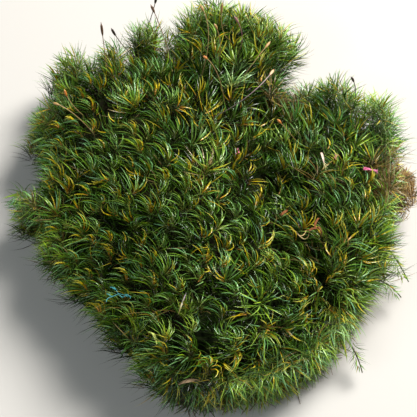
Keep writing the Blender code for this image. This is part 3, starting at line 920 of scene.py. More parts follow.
def rod_piece(name, lines, finish, sides=8):
    """Round rods along lines, each a row of (place in the plan, girth in millimetres, share of the way)."""
    spots, edges, girths, shares, tints = [], [], [], [], []
    tint_step = 0.618
    for number, line in enumerate(lines):
        start = len(spots)
        for place, girth, share in line:
            spots.append(frame_place(*place))
            girths.append(girth * MM)
            shares.append(share)
            tints.append(number * tint_step % 1.0)
        edges += [(at, at + 1) for at in range(start, len(spots) - 1)]
    mesh = bpy.data.meshes.new(name)
    mesh.from_pydata(spots, edges, [])
    for label, values in (("girth", girths), ("along", shares), ("tint", tints)):
        store_values(mesh, label, values)
    return RODS.grow(name, mesh, sides=sides, finish=finish)


def bezier(first, towards, last, share):
    return first * (1 - share) ** 2 + towards * (2 * share * (1 - share)) + last * share ** 2


def through(first, middle, last, share):
    """A place on the curve from first to last that passes through middle."""
    return bezier(first, middle * 2 - (first + last) / 2, last, share)


def read_outline(outline, share):
    for (s0, r0), (s1, r1) in zip(outline, outline[1:]):
        if share <= s1:
            return r0 + (r1 - r0) * max(share - s0, 0.0) / (s1 - s0)
    return outline[-1][1]


# ---------------------------------------------------------------- materials


def new_material(name, roughness):
    made = bpy.data.materials.new(name)
    made.use_nodes = True
    tree = made.node_tree
    shader = tree.nodes["Principled BSDF"]
    shader.inputs["Roughness"].default_value = roughness
    return made, tree, shader


def ramp(share, stops):
    """A colour ramp; stops are (place, (r, g, b))."""
    node = share.tree.nodes.new("ShaderNodeValToRGB")
    elements = node.color_ramp.elements
    while len(elements) < len(stops):
        elements.new(0.5)
    for element, (place, colour) in zip(elements, stops):
        element.position = place
        element.color = (*colour, 1)
    plug(node.inputs[0], share)
    return Wire(share.tree, node.outputs["Color"])


def mix_colours(share, first, last, kind="MIX"):
    node = first.tree.nodes.new("ShaderNodeMix")
    node.data_type = "RGBA"
    node.blend_type = kind
    sockets = [socket for socket in node.inputs if socket.enabled]
    for socket, value in zip(sockets, (share, first, last)):
        plug(socket, value)
    return Wire(first.tree, next(out for out in node.outputs if out.enabled))


def toned(colour, share, stops):
    """The colour times a ramp, so that it is darker or lighter in places."""
    return mix_colours(1.0, colour, ramp(share, stops), "MULTIPLY")


def noise_wire(coordinate, scale, detail=3.0, roughness=0.55):
    """Noise with so many waves to the metre, or to the unit of the coordinate."""
    node = coordinate.tree.nodes.new("ShaderNodeTexNoise")
    plug(node.inputs["Vector"], coordinate)
    node.inputs["Scale"].default_value = scale
    node.inputs["Detail"].default_value = detail
    node.inputs["Roughness"].default_value = roughness
    return Wire(coordinate.tree, node.outputs["Fac"])


def object_coordinates(tree):
    return Wire(tree, tree.nodes.new("ShaderNodeTexCoord").outputs["Object"])


def carried_wire(tree, label, output="Fac"):
    """What the piece's points carry under the label."""
    node = tree.nodes.new("ShaderNodeAttribute")
    node.attribute_name = label
    return Wire(tree, node.outputs[output])


def emboss(shader, height, strength, depth):
    """Raises the surface by a pattern, as a bump this many millimetres deep."""
    bump = height.tree.nodes.new("ShaderNodeBump")
    bump.inputs["Strength"].default_value = strength
    bump.inputs["Distance"].default_value = depth * MM
    plug(bump.inputs["Height"], height)
    plug(shader.inputs["Normal"], Wire(height.tree, bump.outputs[0]))


def grey(value):
    return (value, value, value)


# Colours of a leaf by its tone: yellowish greens from deep to light up to 0.7, with bluish ones among them at
# 0.40, 0.55 and 0.65 that are a painted sheen of reflected sky light, then golden from 0.75 to 0.90 and
# withered from 0.93
LEAF_FOOT = (
    (0.0, (0.010, 0.009, 0.001)), (0.35, (0.062, 0.064, 0.004)), (0.7, (0.22, 0.22, 0.012)),
    (0.75, (0.30, 0.10, 0.006)), (0.90, (0.42, 0.14, 0.008)),
    (0.93, (0.11, 0.055, 0.014)), (1.0, (0.16, 0.10, 0.030)),
)
LEAF_MIDDLE = (
    (0.0, (0.004, 0.010, 0.001)), (0.2, (0.023, 0.061, 0.003)), (0.32, (0.060, 0.136, 0.005)),
    (0.40, (0.055, 0.175, 0.030)), (0.48, (0.18, 0.28, 0.004)), (0.55, (0.13, 0.31, 0.13)),
    (0.60, (0.24, 0.37, 0.010)), (0.65, (0.24, 0.44, 0.18)), (0.7, (0.40, 0.50, 0.012)),
    (0.75, (0.36, 0.25, 0.004)), (0.90, (0.50, 0.38, 0.010)),
    (0.93, (0.16, 0.085, 0.02)), (1.0, (0.28, 0.21, 0.08)),
)
LEAF_TIP = (
    (0.0, (0.008, 0.018, 0.002)), (0.2, (0.036, 0.093, 0.008)), (0.32, (0.080, 0.185, 0.012)),
    (0.40, (0.095, 0.250, 0.070)), (0.48, (0.24, 0.35, 0.01)), (0.55, (0.20, 0.41, 0.24)),
    (0.60, (0.32, 0.45, 0.02)), (0.65, (0.36, 0.58, 0.36)), (0.7, (0.50, 0.62, 0.045)),
    (0.75, (0.40, 0.42, 0.06)), (0.90, (0.54, 0.54, 0.12)),
    (0.93, (0.20, 0.15, 0.06)), (1.0, (0.38, 0.32, 0.16)),
)
LEAF_ROUGHNESS = 0.22
LEAF_FOOT_ROUGHNESS = 0.75


def leaf_material():
    """A leaf whose colour follows its own map: along the leaf one way, and from leaf to leaf the other."""
    made, tree, shader = new_material("living_leaves", LEAF_ROUGHNESS)
    node = tree.nodes.new("ShaderNodeUVMap")
    node.uv_map = BAKE_MAP
    leaf_map = Wire(tree, node.outputs[0])
    along, tone, _ = parts_of(leaf_map)
    # The middle's colour is full from about two fifths of the leaf, the tip's comes in over its outer half,
    # and the gloss is full from a quarter
    middle_share = reckon("MINIMUM", along * 2.6, 1.0)
    tip_share = reckon("MAXIMUM", along * 1.8 - 0.8, 0.0)
    gloss_share = reckon("MINIMUM", along * 4.0, 1.0)
    colour = mix_colours(middle_share, ramp(tone, LEAF_FOOT), ramp(tone, LEAF_MIDDLE))
    colour = mix_colours(tip_share, colour, ramp(tone, LEAF_TIP))
    mottle = noise_wire(leaf_map * Vector((5.0, 90.0, 0.0)), 1.0)
    colour = toned(colour, mottle, ((0.3, (0.72, 0.76, 0.70)), (0.7, (1.0, 1.0, 1.0))))
    plug(shader.inputs["Base Color"], colour)
    plug(shader.inputs["Roughness"], blend(LEAF_FOOT_ROUGHNESS, LEAF_ROUGHNESS, gloss_share))
    shader.inputs["Specular IOR Level"].default_value = 0.38
    return made


def core_material():
    """Mossy ground between the shoots, its greens and browns darkened almost to black as painted shade."""
    made, tree, shader = new_material("old_leaves_in_the_dark", 0.85)
    place = object_coordinates(tree)
    grain = noise_wire(place, 700.0, 5.0, 0.7)
    patch = noise_wire(place, 90.0, 2.0)
    green = ramp(grain, ((0.35, (0.003, 0.005, 0.001)), (0.7, (0.012, 0.018, 0.003))))
    brown = ramp(grain, ((0.35, (0.006, 0.005, 0.002)), (0.7, (0.018, 0.013, 0.005))))
    brown_share = ramp(patch, ((0.45, (0, 0, 0)), (0.6, (1, 1, 1))))
    plug(shader.inputs["Base Color"], mix_colours(brown_share, green, brown))
    shader.inputs["Specular IOR Level"].default_value = 0.1
    return made


def strand_material(name, stops, roughness, lightness=(0.75, 1.15)):
    """A stem or thread whose colour changes along it, a little lighter or darker from one to the next."""
    made, tree, shader = new_material(name, roughness)
    darkest, lightest = lightness
    colour = ramp(carried_wire(tree, "along"), stops)
    colour = toned(colour, carried_wire(tree, "tint"), ((0.0, grey(darkest)), (1.0, grey(lightest))))
    grain = noise_wire(object_coordinates(tree), 2500.0)
    colour = toned(colour, grain, ((0.3, grey(0.7)), (0.7, grey(1.0))))
    plug(shader.inputs["Base Color"], colour)
    return made


def dry_material(name, dark, light, roughness):
    """Dry plant stuff with streaks along it."""
    made, tree, shader = new_material(name, roughness)
    lie = carried_wire(tree, "lie", "Vector")
    streak = noise_wire(lie * Vector((3.0, 22.0, 1.0)), 1.0, 4.0, 0.65)
    blotch = noise_wire(object_coordinates(tree), 420.0)
    colour = ramp(streak, ((0.32, dark), (0.66, light)))
    colour = toned(colour, blotch, ((0.35, (0.6, 0.56, 0.5)), (0.6, (1.0, 1.0, 1.0))))
    plug(shader.inputs["Base Color"], colour)
    emboss(shader, streak, 0.6, 0.15)
    return made


def mat_material():
    """Felted brown stems, root hairs and a little soil, with the cut ends showing underneath."""
    made, tree, shader = new_material("felted_old_stems", 0.9)
    place = object_coordinates(tree)
    felt = noise_wire(place * Vector((900.0, 900.0, 260.0)), 1.0, 5.0, 0.7)
    patch = noise_wire(place, 60.0)
    browns = ((0.30, (0.020, 0.011, 0.005)), (0.55, (0.085, 0.048, 0.020)), (0.75, (0.20, 0.125, 0.055)))
    colour = toned(ramp(felt, browns), patch, ((0.35, (0.55, 0.55, 0.6)), (0.65, (1.1, 1.0, 0.85))))
    plug(shader.inputs["Base Color"], colour)
    emboss(shader, felt, 0.7, 0.4)
    shader.inputs["Specular IOR Level"].default_value = 0.15
    return made


# ---------------------------------------------------------------- pieces


def wear(piece, material):
    piece.data.materials.clear()
    piece.data.materials.append(material)


def stand_for(piece, slot, *nodes):
    """Lets the piece ride on the clump in place of the nodes it stands for. The slot is not used."""
    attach(piece, "root")
    if nodes:
        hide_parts(*nodes)


def core_of(node, depth):
    """The inside of a cushion under its leaves: the solid with its points evened out and drawn in."""
    name = f"{node}_core"
    bm = merged_copy(node)
    seat = min(vert.co.z for vert in bm.verts)
    seat_top = seat + 0.1 * MM
    foot = [vert.co for vert in bm.verts if vert.co.z < seat_top]
    heart = sum(foot, Vector()) / len(foot)
    reaches = {vert: (vert.co - heart).length for vert in bm.verts}
    for _ in range(CORE_SMOOTHING):
        means = {v: sum(reaches[e.other_vert(v)] for e in v.link_edges) / len(v.link_edges) for v in bm.verts}
        reaches = {v: (reaches[v] + means[v]) / 2 for v in bm.verts}
    for vert in bm.verts:
        on_seat = vert.co.z < seat_top
        reach = max(reaches[vert] - depth * MM, CORE_LEAST_SHARE * reaches[vert])
        vert.co = drawn_inside(heart + (vert.co - heart).normalized() * reach, CORE_INSET, CORE_SLANT)
        if on_seat:
            vert.co.z = seat - 0.3 * MM
    bmesh.ops.subdivide_edges(bm, edges=bm.edges, cuts=1, use_grid_fill=True)
    bm.normal_update()
    for vert in bm.verts:
        if vert.co.z > seat:
            rough = sum(noise.noise(vert.co / (size * MM)) * height for size, height in CORE_LUMPS)
            vert.co += vert.normal * rough * MM
    bmesh.ops.triangulate(bm, faces=bm.faces)
    bmesh.ops.recalc_face_normals(bm, faces=bm.faces)
    mesh = mesh_of(name, bm)
    mesh.shade_smooth()
    return placed(name, mesh)


def split_by_sector(tips, count, heart):
    """Shares shoots among sectors round a middle place, so that no piece grows too heavy."""
    groups = [[] for _ in range(count)]
    middle = frame_place(*heart)
    by_turn = sorted(tips, key=lambda t: math.atan2(t[0].y - middle.y, t[0].x - middle.x))
    for at, tip in enumerate(by_turn):
        groups[at * count // len(by_turn)].append(tip)
    return groups


def moss():
    """The shoots of the cushions, tufts and rim, and the dark inside of each cushion and tuft."""
    rng = random.Random(SEED)
    shoots = leafy_shoots()
    common = dict(
        pattern=leaf_pattern(), leaf_length=LEAF_LENGTH * MM, half_width=LEAF_HALF_WIDTH * MM,
        leafy_stem=LEAFY_STEM * MM, stem_radius=STEM_RADIUS * MM, youngest=0.4, oldest=1.3, unruly=0.15,
        floor=0.25 * MM, finish=leaf_material(),
    )
    core = core_material()
    taken, seeds = [], itertools.count(FIRST_SEED, SEED_STEP)

    def leafed(label, tips, pieces, heart, slot, *nodes, rim=False):
        for number, group in enumerate(split_by_sector(tips, pieces, heart), 1):
            name = f"{label}_{number}"
            piece = shoots.grow(name, seedbed(name, group, rng, rim), seed=next(seeds), **common)
            stand_for(piece, slot, *nodes)

    for node in CUSHIONS + TUFTS + (DEAD_TUFT,):
        slot = "dead_moss" if node == DEAD_TUFT else "living_moss"
        leafed(f"{node}_leaves", shoot_tips(node, taken), SECTORS.get(node, 1), CUSHION_HEART, slot, node)
        inner = core_of(node, CORE_DEPTH if node in CUSHIONS else TUFT_CORE_DEPTH)
        wear(inner, core)
        stand_for(inner, slot, node)
    leafed("rim_leaves", rim_tips(taken), RIM_SECTORS, (0, 0), "living_moss", rim=True)
    sprigs(shoots, common, rng)


def sprigs(shoots, common, rng):
    """Stray shoots with a bare stem and a few leaves at the end."""
    stem = strand_material("shoot_stem", ((0.0, (0.05, 0.035, 0.012)), (1.0, (0.07, 0.09, 0.02))), 0.6)
    values = dict(common, leaf_length=SPRIG_LEAF_LENGTH * MM)
    shares = [at / 8 for at in range(9)]
    stem_girth, taper, leafy_shares = 0.32, 0.12, (0.7, 1.0)
    for number, row in enumerate(SPRIGS, 1):
        node = f"stray_shoot_{number}"
        root, middle, tip = (Vector(place) for place in row)
        line = [(through(root, middle, tip, share), stem_girth - taper * share, share) for share in shares]
        stand_for(rod_piece(f"{node}_stem", [line], stem, 6), "living_moss", node)
        way = (tip - middle).normalized()
        tips = [(frame_place(*through(root, middle, tip, share)), way, False) for share in leafy_shares]
        bed = seedbed(node, tips, rng, rim=True)
        bed.attributes["axis"].data.foreach_set("vector", list(way) * len(tips))
        leaves = shoots.grow(f"{node}_leaves", bed, seed=SPRIG_SEED + number, **values)
        stand_for(leaves, "living_moss", node)


def stalks():
    """Thin stalks, each with a capsule and its pointed lid.

    The colours run along the rod: the stalk's up to 0.85, then the capsule's and the lid's."""
    finishes = {}
    for look, (stalk, capsule, lid) in STALK_COLOURS.items():
        stops = (
            (0.0, tuple(part * 0.5 for part in stalk)), (0.4, stalk), (0.84, stalk), (0.88, capsule),
            (0.96, capsule), (0.98, lid), (1.0, lid),
        )
        finishes[look] = strand_material(f"{look}_stalk", stops, 0.42)
    for number, (foot, middle, tip, look) in enumerate(STALKS, 1):
        node = f"spore_stalk_{number:02d}"
        foot = Vector((*foot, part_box(node)[0][2] / MM))
        middle, tip = Vector(middle), Vector(tip)
        length = (middle - foot).length + (tip - middle).length
        neck = 1 - CAPSULE_LENGTH / length
        line = [(foot - UP * STALK_ROOT, STALK_RADIUS * 1.2, 0.0)]
        for at in range(STALK_STEPS + 1):
            share = neck * at / STALK_STEPS
            line.append((through(foot, middle, tip, share), STALK_RADIUS, 0.1 + 0.75 * at / STALK_STEPS))
        for share, girth in CAPSULE_SHAPE:
            line.append((through(foot, middle, tip, neck + (1 - neck) * share), girth, 0.86 + 0.14 * share))
        stand_for(rod_piece(node + "_fine", [line], finishes[look]), "stalk", node)


def mat():
    """The brown mat: a felted slab with a ragged side, cut flat underneath, and loose old stems round it."""
    lump_size, layering, raggedness = 2.6, 2.2, 1.1
    ring_spots = []
    for a, b in rim_sides():
        steps = max(1, round((b - a).length / MAT_SPACING))
        ring_spots += [a.lerp(b, step / steps) for step in range(steps)]
    bm = bmesh.new()
    rings = []
    for height in MAT_HEIGHTS:
        ring = []
        for spot in ring_spots:
            co = drawn_inside(frame_place(spot.x, spot.y, height), MAT_INSET, MAT_SLANT)
            rough = noise.noise(Vector((spot.x, spot.y, height * layering)) / lump_size) * raggedness
            out = way_past_rim(plan_place(co))[1]
            ring.append(bm.verts.new(co + out * rough * MM))
        rings.append(ring)
    for low, high in zip(rings, rings[1:]):
        for at in range(len(low)):
            after = (at + 1) % len(low)
            bm.faces.new((low[at], low[after], high[after], high[at]))
    bmesh.ops.triangulate(bm, faces=[bm.faces.new(rings[0][::-1]), bm.faces.new(rings[-1])])
    bmesh.ops.recalc_face_normals(bm, faces=bm.faces)
    slab = placed("mat_felt", mesh_of("mat_felt", bm))
    wear(slab, mat_material())
    stand_for(slab, "mat", MAT_NODE)
    old_stems(ring_spots)


def old_stems(ring_spots):
    """Loose old stems that run along the side of the mat."""
    rng = random.Random(SEED + 1)
    lines = []
    for _ in range(OLD_STEMS):
        spot = rng.choice(ring_spots)
        height = rng.uniform(0.4, 9.0)
        start = drawn_inside(frame_place(spot.x, spot.y, height), MAT_INSET - 0.2, MAT_SLANT)
        out = way_past_rim(plan_place(start))[1]
        run = Vector((-out.y, out.x, 0)) * rng.choice((-1, 1))
        way = run * rng.uniform(0.2, 1.0) + out * rng.uniform(-0.1, 0.6) + UP * rng.uniform(-0.5, 0.7)
        way.normalize()
        bend = (out * rng.uniform(-0.6, 0.2) + UP * rng.uniform(-0.8, 0.4)) * 0.5
        length = rng.uniform(2.5, 7.5)
        girth = rng.uniform(0.10, 0.24)
        place = plan_place(start)
        line = []
        for at in range(5):
            share = at / 4
            point = place + way * length * share + bend * length * share * share
            point.z = max(point.z, girth + 0.1)
            line.append((point, girth * (1 - 0.5 * share), share))
        lines.append(line)
    browns = ((0.0, (0.05, 0.028, 0.012)), (1.0, (0.16, 0.10, 0.045)))
    finish = strand_material("old_stems", browns, 0.85, (0.5, 1.5))
    stand_for(rod_piece("mat_old_stems", lines, finish, 4), "mat", MAT_NODE)


def thatch():
    """Dead, straw-coloured stems and leaves that lie tangled over the dead tuft."""
    rng = random.Random(SEED + 4)
    low, high = (plan_place(corner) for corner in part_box(DEAD_TUFT))
    middle, half = (low + high) / 2, (high - low) / 2
    spread = 0.92
    lines = []
    for _ in range(THATCH_STEMS):
        turn, out = rng.uniform(0, 2 * math.pi), math.sqrt(rng.random())
        across, away = half.x * spread * out * math.cos(turn), half.y * spread * out * math.sin(turn)
        spot = middle + Vector((across, away, 0))
        spot.z = low.z + (high.z - low.z) * (1.02 - 0.6 * out * out) - rng.uniform(0, 2.5)
        way = (level_way(rng.uniform(0, 360)) + UP * rng.uniform(-0.3, 0.5)).normalized()
        bend = (level_way(rng.uniform(0, 360)) - UP * rng.uniform(0.0, 0.7)) * 0.9
        length, girth = rng.uniform(2.5, 6.5), rng.uniform(0.10, 0.20)
        line = []
        for at in range(6):
            share = at / 5
            point = spot + way * length * (share - 0.4) + bend * length * (share - 0.4) ** 2
            line.append((point, girth * (1 - 0.6 * share), share))
        lines.append(line)
    stops = ((0.0, (0.12, 0.050, 0.012)), (0.5, (0.38, 0.22, 0.055)), (1.0, (0.62, 0.42, 0.13)))
    straw = strand_material("dead_straw", stops, 0.7, (0.45, 1.3))
    stand_for(rod_piece("dead_tuft_thatch", lines, straw, 4), "dead_moss", DEAD_TUFT)


def middle_of(node):
    low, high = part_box(node)
    return plan_place((Vector(low) + Vector(high)) / 2)


def strip(name, node, slot, finish, outline, turn, length, width, thickness=0.25, cup=0.0, bow=0.0, arch=0.0,
          twist=0.0, shift=(0, 0, 0)):
    """A dry strip such as a leaf, husk or flake of bark, over the middle of its node.

    Lengths are in millimetres, cup is a share of the width, bow and arch are shares of the length, and turn
    and twist are in degrees."""
    columns, rows = 16, 5
    middle = middle_of(node) + Vector(shift)
    bm = bmesh.new()
    grid, lie = [], []
    for column in range(columns + 1):
        share = column / columns
        half = width / 2 * read_outline(outline, share)
        lean = Matrix.Rotation(math.radians(twist * (share - 0.5)), 3, "X")
        bowed, arched = (part * length * 4 * share * (1 - share) for part in (bow, arch))
        spine = Vector(((share - 0.5) * length, bowed, arched))
        line = []
        for row in range(rows):
            across = row / (rows - 1) * 2 - 1
            wave = noise.noise(Vector((share * 7, across * 1.5, len(name)))) * 0.12 * width
            spot = spine + lean @ Vector((0, across * half, cup * width * across * across + wave))
            line.append(bm.verts.new(frame_place(*(turned(spot, turn) + middle))))
            lie.append(Vector((share, across * 0.5, 0)))
        grid.append(line)
    for one, other in zip(grid, grid[1:]):
        for row in range(rows - 1):
            bm.faces.new((one[row], other[row], other[row + 1], one[row + 1]))
    mesh = mesh_of(name, bm)
    store_values(mesh, "lie", lie)
    mesh.shade_smooth()
    obj = placed(name, mesh)
    walls = obj.modifiers.new("thickness", "SOLIDIFY")
    walls.thickness = thickness * MM
    walls.offset = 0
    obj.modifiers.new("rounding", "SUBSURF").render_levels = 1
    piece = made_plain(obj)
    wear(piece, finish)
    stand_for(piece, slot, node)


# How wide a strip is at shares of its length, as a share of its full width
LEAF_OUTLINE = ((0.0, 0.25), (0.2, 0.8), (0.45, 1.0), (0.75, 0.7), (1.0, 0.06))
HUSK_OUTLINE = ((0.0, 0.7), (0.2, 1.0), (0.6, 0.8), (0.9, 0.3), (1.0, 0.08))
FLAKE_OUTLINE = ((0.0, 0.45), (0.12, 0.9), (0.35, 1.0), (0.5, 0.8), (0.7, 0.95), (0.88, 0.6), (1.0, 0.3))

# The bark flake has split in three: turn in degrees, length, width and shift from the middle in millimetres
BARK_SPLINTERS = (
    (70, 4.0, 0.85, (0.4, 1.5, 0.1)), (22, 3.2, 0.9, (-1.0, -1.1, 0.0)), (-56, 3.0, 0.8, (1.1, -1.3, 0.2)),
)


def litter():
    """Bits that lie on the moss."""
    bark = dry_material("reddish_bark", (0.055, 0.014, 0.003), (0.33, 0.10, 0.014), 0.85)
    husk = dry_material("pale_husk", (0.50, 0.33, 0.24), (0.84, 0.68, 0.58), 0.6)
    green = dry_material("yellowed_leaf", (0.30, 0.38, 0.05), (0.66, 0.72, 0.20), 0.55)
    brown = dry_material("weathered_leaf", (0.22, 0.13, 0.065), (0.52, 0.38, 0.22), 0.75)
    strip(
        "bark_flake_small_plate", "bark_flake_small", "bark", bark, FLAKE_OUTLINE,
        turn=38, length=3.4, width=1.15, thickness=0.4, cup=-0.1, arch=0.04, twist=25,
    )
    for number, (turn, length, width, shift) in enumerate(BARK_SPLINTERS, 1):
        strip(
            f"bark_flake_large_splinter_{number}", "bark_flake_large", "bark", bark, FLAKE_OUTLINE,
            turn=turn, length=length, width=width, thickness=0.3, cup=-0.3, bow=0.12, arch=0.1, twist=-70,
            shift=shift,
        )
    strip(
        "dry_husk_shell", "dry_husk", "dry_leaf", husk, HUSK_OUTLINE,
        turn=-78, length=4.3, width=0.8, cup=0.35, bow=0.03, arch=0.05, twist=20, shift=(-0.2, -0.8, 0.3),
    )
    strip(
        "curled_leaf_blade", "curled_leaf", "dry_leaf", green, LEAF_OUTLINE,
        turn=-52, length=5.4, width=0.95, thickness=0.2, cup=0.5, bow=0.16, arch=0.08, twist=190,
        shift=(-0.8, -1.4, 1.1),
    )
    strip(
        "grey_leaf_blade", "grey_leaf", "dry_leaf", brown, LEAF_OUTLINE,
        turn=14, length=7.4, width=1.2, thickness=0.2, cup=0.4, bow=0.05, arch=0.06, twist=60,
        shift=(0.4, -1.5, -0.4),
    )
    dry_stems()
    lichen()
    fibre()


def smooth_line(corners, girths, steps=16):
    """A rod's line that bends smoothly past corner places, from the first to the last."""
    line = []
    for at in range(steps + 1):
        share = at / steps
        reach = share * (len(corners) - 1)
        here = min(int(reach), len(corners) - 2)
        before, after = corners[max(here - 1, 0)], corners[min(here + 2, len(corners) - 1)]
        a, b = corners[here], corners[here + 1]
        t = reach - here
        spot = a + (b - before) * (t * 0.5) + (before * 2 - a * 5 + b * 4 - after) * (t * t * 0.5)
        spot += (a * 3 - before - b * 3 + after) * (t * t * t * 0.5)
        line.append((spot, read_outline(girths, share), share))
    return line


# Dry stems that lie on the moss: their bends, from the middle of the node, and how thick they are at shares
# of their length, in millimetres
SPIKE_BENDS = ((-1.3, -3.0, -0.7), (-0.5, -1.0, 0.1), (0.2, 0.9, 0.6), (1.5, 4.2, 1.3))
SPIKE_GIRTHS = ((0.0, 0.12), (0.25, 0.24), (0.55, 0.34), (0.85, 0.20), (1.0, 0.08))
STRAW_BENDS = (
    (-3.9, 3.0, 0.1), (-1.6, 1.0, 0.5), (0.4, -1.3, 0.5), (2.0, -2.4, 0.3), (3.4, -1.5, 0.5), (3.8, 0.4, 0.9),
)
STRAW_GIRTHS = ((0.0, 0.12), (0.2, 0.19), (0.55, 0.22), (0.85, 0.15), (1.0, 0.08))
STRAW_FORK = ((0.2, -1.0, 0.5), (1.3, -1.3, 0.7), (2.3, -0.4, 0.9), (2.7, 0.9, 0.9))
HUSK_GIRTHS = ((0.0, 0.22), (1.0, 0.08))
HUSK_THREADS = (
    ((0.0, -2.2, 0.2), (0.7, -3.6, 0.0), (1.6, -4.6, -0.3)),
    ((0.1, -2.3, 0.2), (0.3, -3.8, 0.1), (-0.2, -5.0, -0.3)),
    ((0.2, -2.4, 0.2), (1.0, -3.3, 0.4), (2.0, -3.5, 0.2)),
    ((0.1, -2.3, 0.1), (0.6, -4.0, 0.3), (0.9, -5.4, -0.2)),
)
# The colours of the dry stems, along them
SPIKE_COLOURS = (
    (0.0, (0.10, 0.07, 0.02)), (0.3, (0.45, 0.40, 0.12)), (0.6, (0.82, 0.74, 0.50)),
    (0.8, (0.62, 0.50, 0.52)), (1.0, (0.34, 0.24, 0.36)),
)
STRAW_COLOURS = (
    (0.0, (0.20, 0.12, 0.05)), (0.3, (0.52, 0.37, 0.15)), (0.8, (0.46, 0.32, 0.11)),
    (1.0, (0.26, 0.15, 0.04)),
)
HUSK_COLOURS = ((0.0, (0.62, 0.54, 0.30)), (1.0, (0.36, 0.38, 0.10)))


def bent_stems(name, node, bends, girths, finish, sides=8, steps=16):
    """Smoothly bent stems over the middle of their node, one for each row of bends."""
    middle = middle_of(node)
    lines = [smooth_line([middle + Vector(bend) for bend in row], girths, steps) for row in bends]
    stand_for(rod_piece(name, lines, finish, sides), "dry_leaf", node)


def dry_stems():
    """A mauve-tipped spike, a hooked and forked straw, and the frayed foot of the husk."""
    spike = strand_material("mauve_tipped_spike", SPIKE_COLOURS, 0.5)
    bent_stems("dry_blade_spike", "dry_blade", (SPIKE_BENDS,), SPIKE_GIRTHS, spike)
    straw = strand_material("straw", STRAW_COLOURS, 0.6)
    bent_stems("dry_straw_stem", "dry_straw", (STRAW_BENDS, STRAW_FORK), STRAW_GIRTHS, straw)
    frayed = strand_material("frayed_husk", HUSK_COLOURS, 0.7)
    bent_stems("dry_husk_threads", "dry_husk", HUSK_THREADS, HUSK_GIRTHS, frayed, sides=6, steps=10)


# The main arms of the lichen: heading in degrees and length in millimetres
LICHEN_ARMS = ((215, 3.8), (122, 3.0), (-5, 3.2), (-48, 1.9))


def lichen():
    """A pale turquoise lichen: fine twigs that fork to a few tips."""
    rng = random.Random(SEED + 2)
    steps, forks_at, taper = 5, (3, 5), 0.4
    lines = []

    def twig(start, way, length, girth, forks):
        line, spot, heading = [], start, way
        for at in range(steps + 1):
            line.append((spot, girth * (1 - taper * at / steps), at / steps))
            wander = Vector((rng.gauss(0, 0.16), rng.gauss(0, 0.16), rng.gauss(0, 0.10)))
            heading = (heading + wander).normalized()
            spot = spot + heading * length / steps
        lines.append(line)
        if forks:
            for at in forks_at:
                lean = turned(way, rng.choice((-1, 1)) * rng.uniform(30, 60)) + UP * rng.uniform(-0.1, 0.5)
                twig(line[at][0], lean.normalized(), length * rng.uniform(0.3, 0.5), girth * 0.8, forks - 1)

    for heading, length in LICHEN_ARMS:
        twig(middle_of("lichen_sprig"), level_way(heading), length, 0.18, 2 if length > 3 else 1)
    finish = strand_material("turquoise_lichen", ((0.0, (0.03, 0.22, 0.24)), (1.0, (0.07, 0.44, 0.47))), 0.7)
    stand_for(rod_piece("lichen_twigs", lines, finish, 6), "lichen", "lichen_sprig")


# Two wisps of the same threads that have caught in the moss: place in the plan and heading in degrees
PINK_WISPS = ((45.0, 12.5, 60), (10.3, 14.5, 110))


def teased_threads(middle, count, length, heading, rng):
    """Lines of thin threads that lie together in the middle and come apart towards their ends."""
    steps, tightest, girth = 8, 0.55, 0.14
    lines = []
    for _ in range(count):
        line = []
        for at in range(steps + 1):
            share = at / steps
            splay = abs(share - tightest) ** 1.5 * 3.0
            spot = turned(Vector(((share - 0.5) * length, rng.gauss(0, 0.12 + 0.32 * splay), 0)), heading)
            spot.z = rng.gauss(0, 0.10 + 0.12 * splay)
            line.append((middle + spot, girth, share))
        lines.append(line)
    return lines


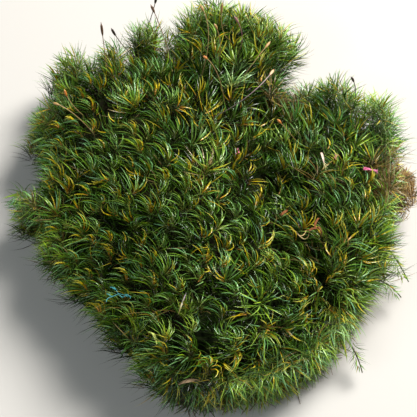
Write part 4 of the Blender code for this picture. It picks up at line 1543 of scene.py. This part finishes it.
def fibre():
    """A few bright synthetic threads, teased apart at their ends."""
    rng = random.Random(SEED + 3)
    finish = strand_material("pink_thread", ((0.0, (0.62, 0.10, 0.24)), (1.0, (0.74, 0.22, 0.38))), 0.55)
    lines = teased_threads(middle_of("pink_fibre"), 8, 5.0, -12, rng)
    stand_for(rod_piece("pink_fibre_threads", lines, finish, 5), "fibre", "pink_fibre")
    lines = []
    for x, y, heading in PINK_WISPS:
        lines += teased_threads(Vector((x, y, top_of_skin(x, y)[0] + 0.6)), 3, 1.8, heading, rng)
    stand_for(rod_piece("pink_wisps", lines, finish, 5), "fibre")


def floor():
    bm = bmesh.new()
    bmesh.ops.create_grid(bm, x_segments=1, y_segments=1, size=2.5)
    obj = placed("floor", mesh_of("floor", bm))
    obj.location.z = -0.1 * MM
    made, _, shader = new_material("pale_floor", 0.7)
    shader.inputs["Base Color"].default_value = (0.44, 0.42, 0.395, 1)
    wear(obj, made)


def camera():
    data = bpy.data.cameras.new("camera")
    data.sensor_width = SENSOR_WIDTH
    data.lens = SENSOR_WIDTH * CAMERA_DISTANCE / VIEW_WIDTH_AT_TARGET
    data.clip_start, data.clip_end = 0.01, 20
    obj = placed("camera", data)
    rise = math.radians(CAMERA_ELEVATION)
    back = Vector((0, -math.cos(rise), math.sin(rise)))
    obj.location = frame_place(*CAMERA_TARGET) + back * CAMERA_DISTANCE * MM
    obj.rotation_euler = (-back).to_track_quat("-Z", "Y").to_euler()
    bpy.context.scene.camera = obj


def soft_light(name, place, size, power, colour):
    """A round soft light that faces the clump."""
    data = bpy.data.lights.new(name, "AREA")
    data.shape = "DISK"
    data.size = size
    data.energy = power
    data.color = colour
    obj = placed(name, data)
    obj.location = place
    obj.rotation_euler = (-Vector(place)).to_track_quat("-Z", "Y").to_euler()


def light():
    """A window at the upper right, a weak cool fill at the lower left, and a faint pale sky."""
    soft_light("window", (0.47, 0.42, 0.75), 0.5, 25.0, (1.0, 0.985, 0.95))
    soft_light("fill", (-0.7, -0.5, 0.7), 0.6, 5.0, (0.82, 0.93, 1.0))
    world = bpy.data.worlds.new("studio")
    world.use_nodes = True
    sky = world.node_tree.nodes["Background"].inputs
    sky["Color"].default_value = (0.97, 1.0, 0.98, 1)
    sky["Strength"].default_value = 0.15
    bpy.context.scene.world = world
    bpy.context.scene.view_settings.view_transform = "Standard"


moss()
mat()
thatch()
stalks()
litter()
floor()
camera()
light()
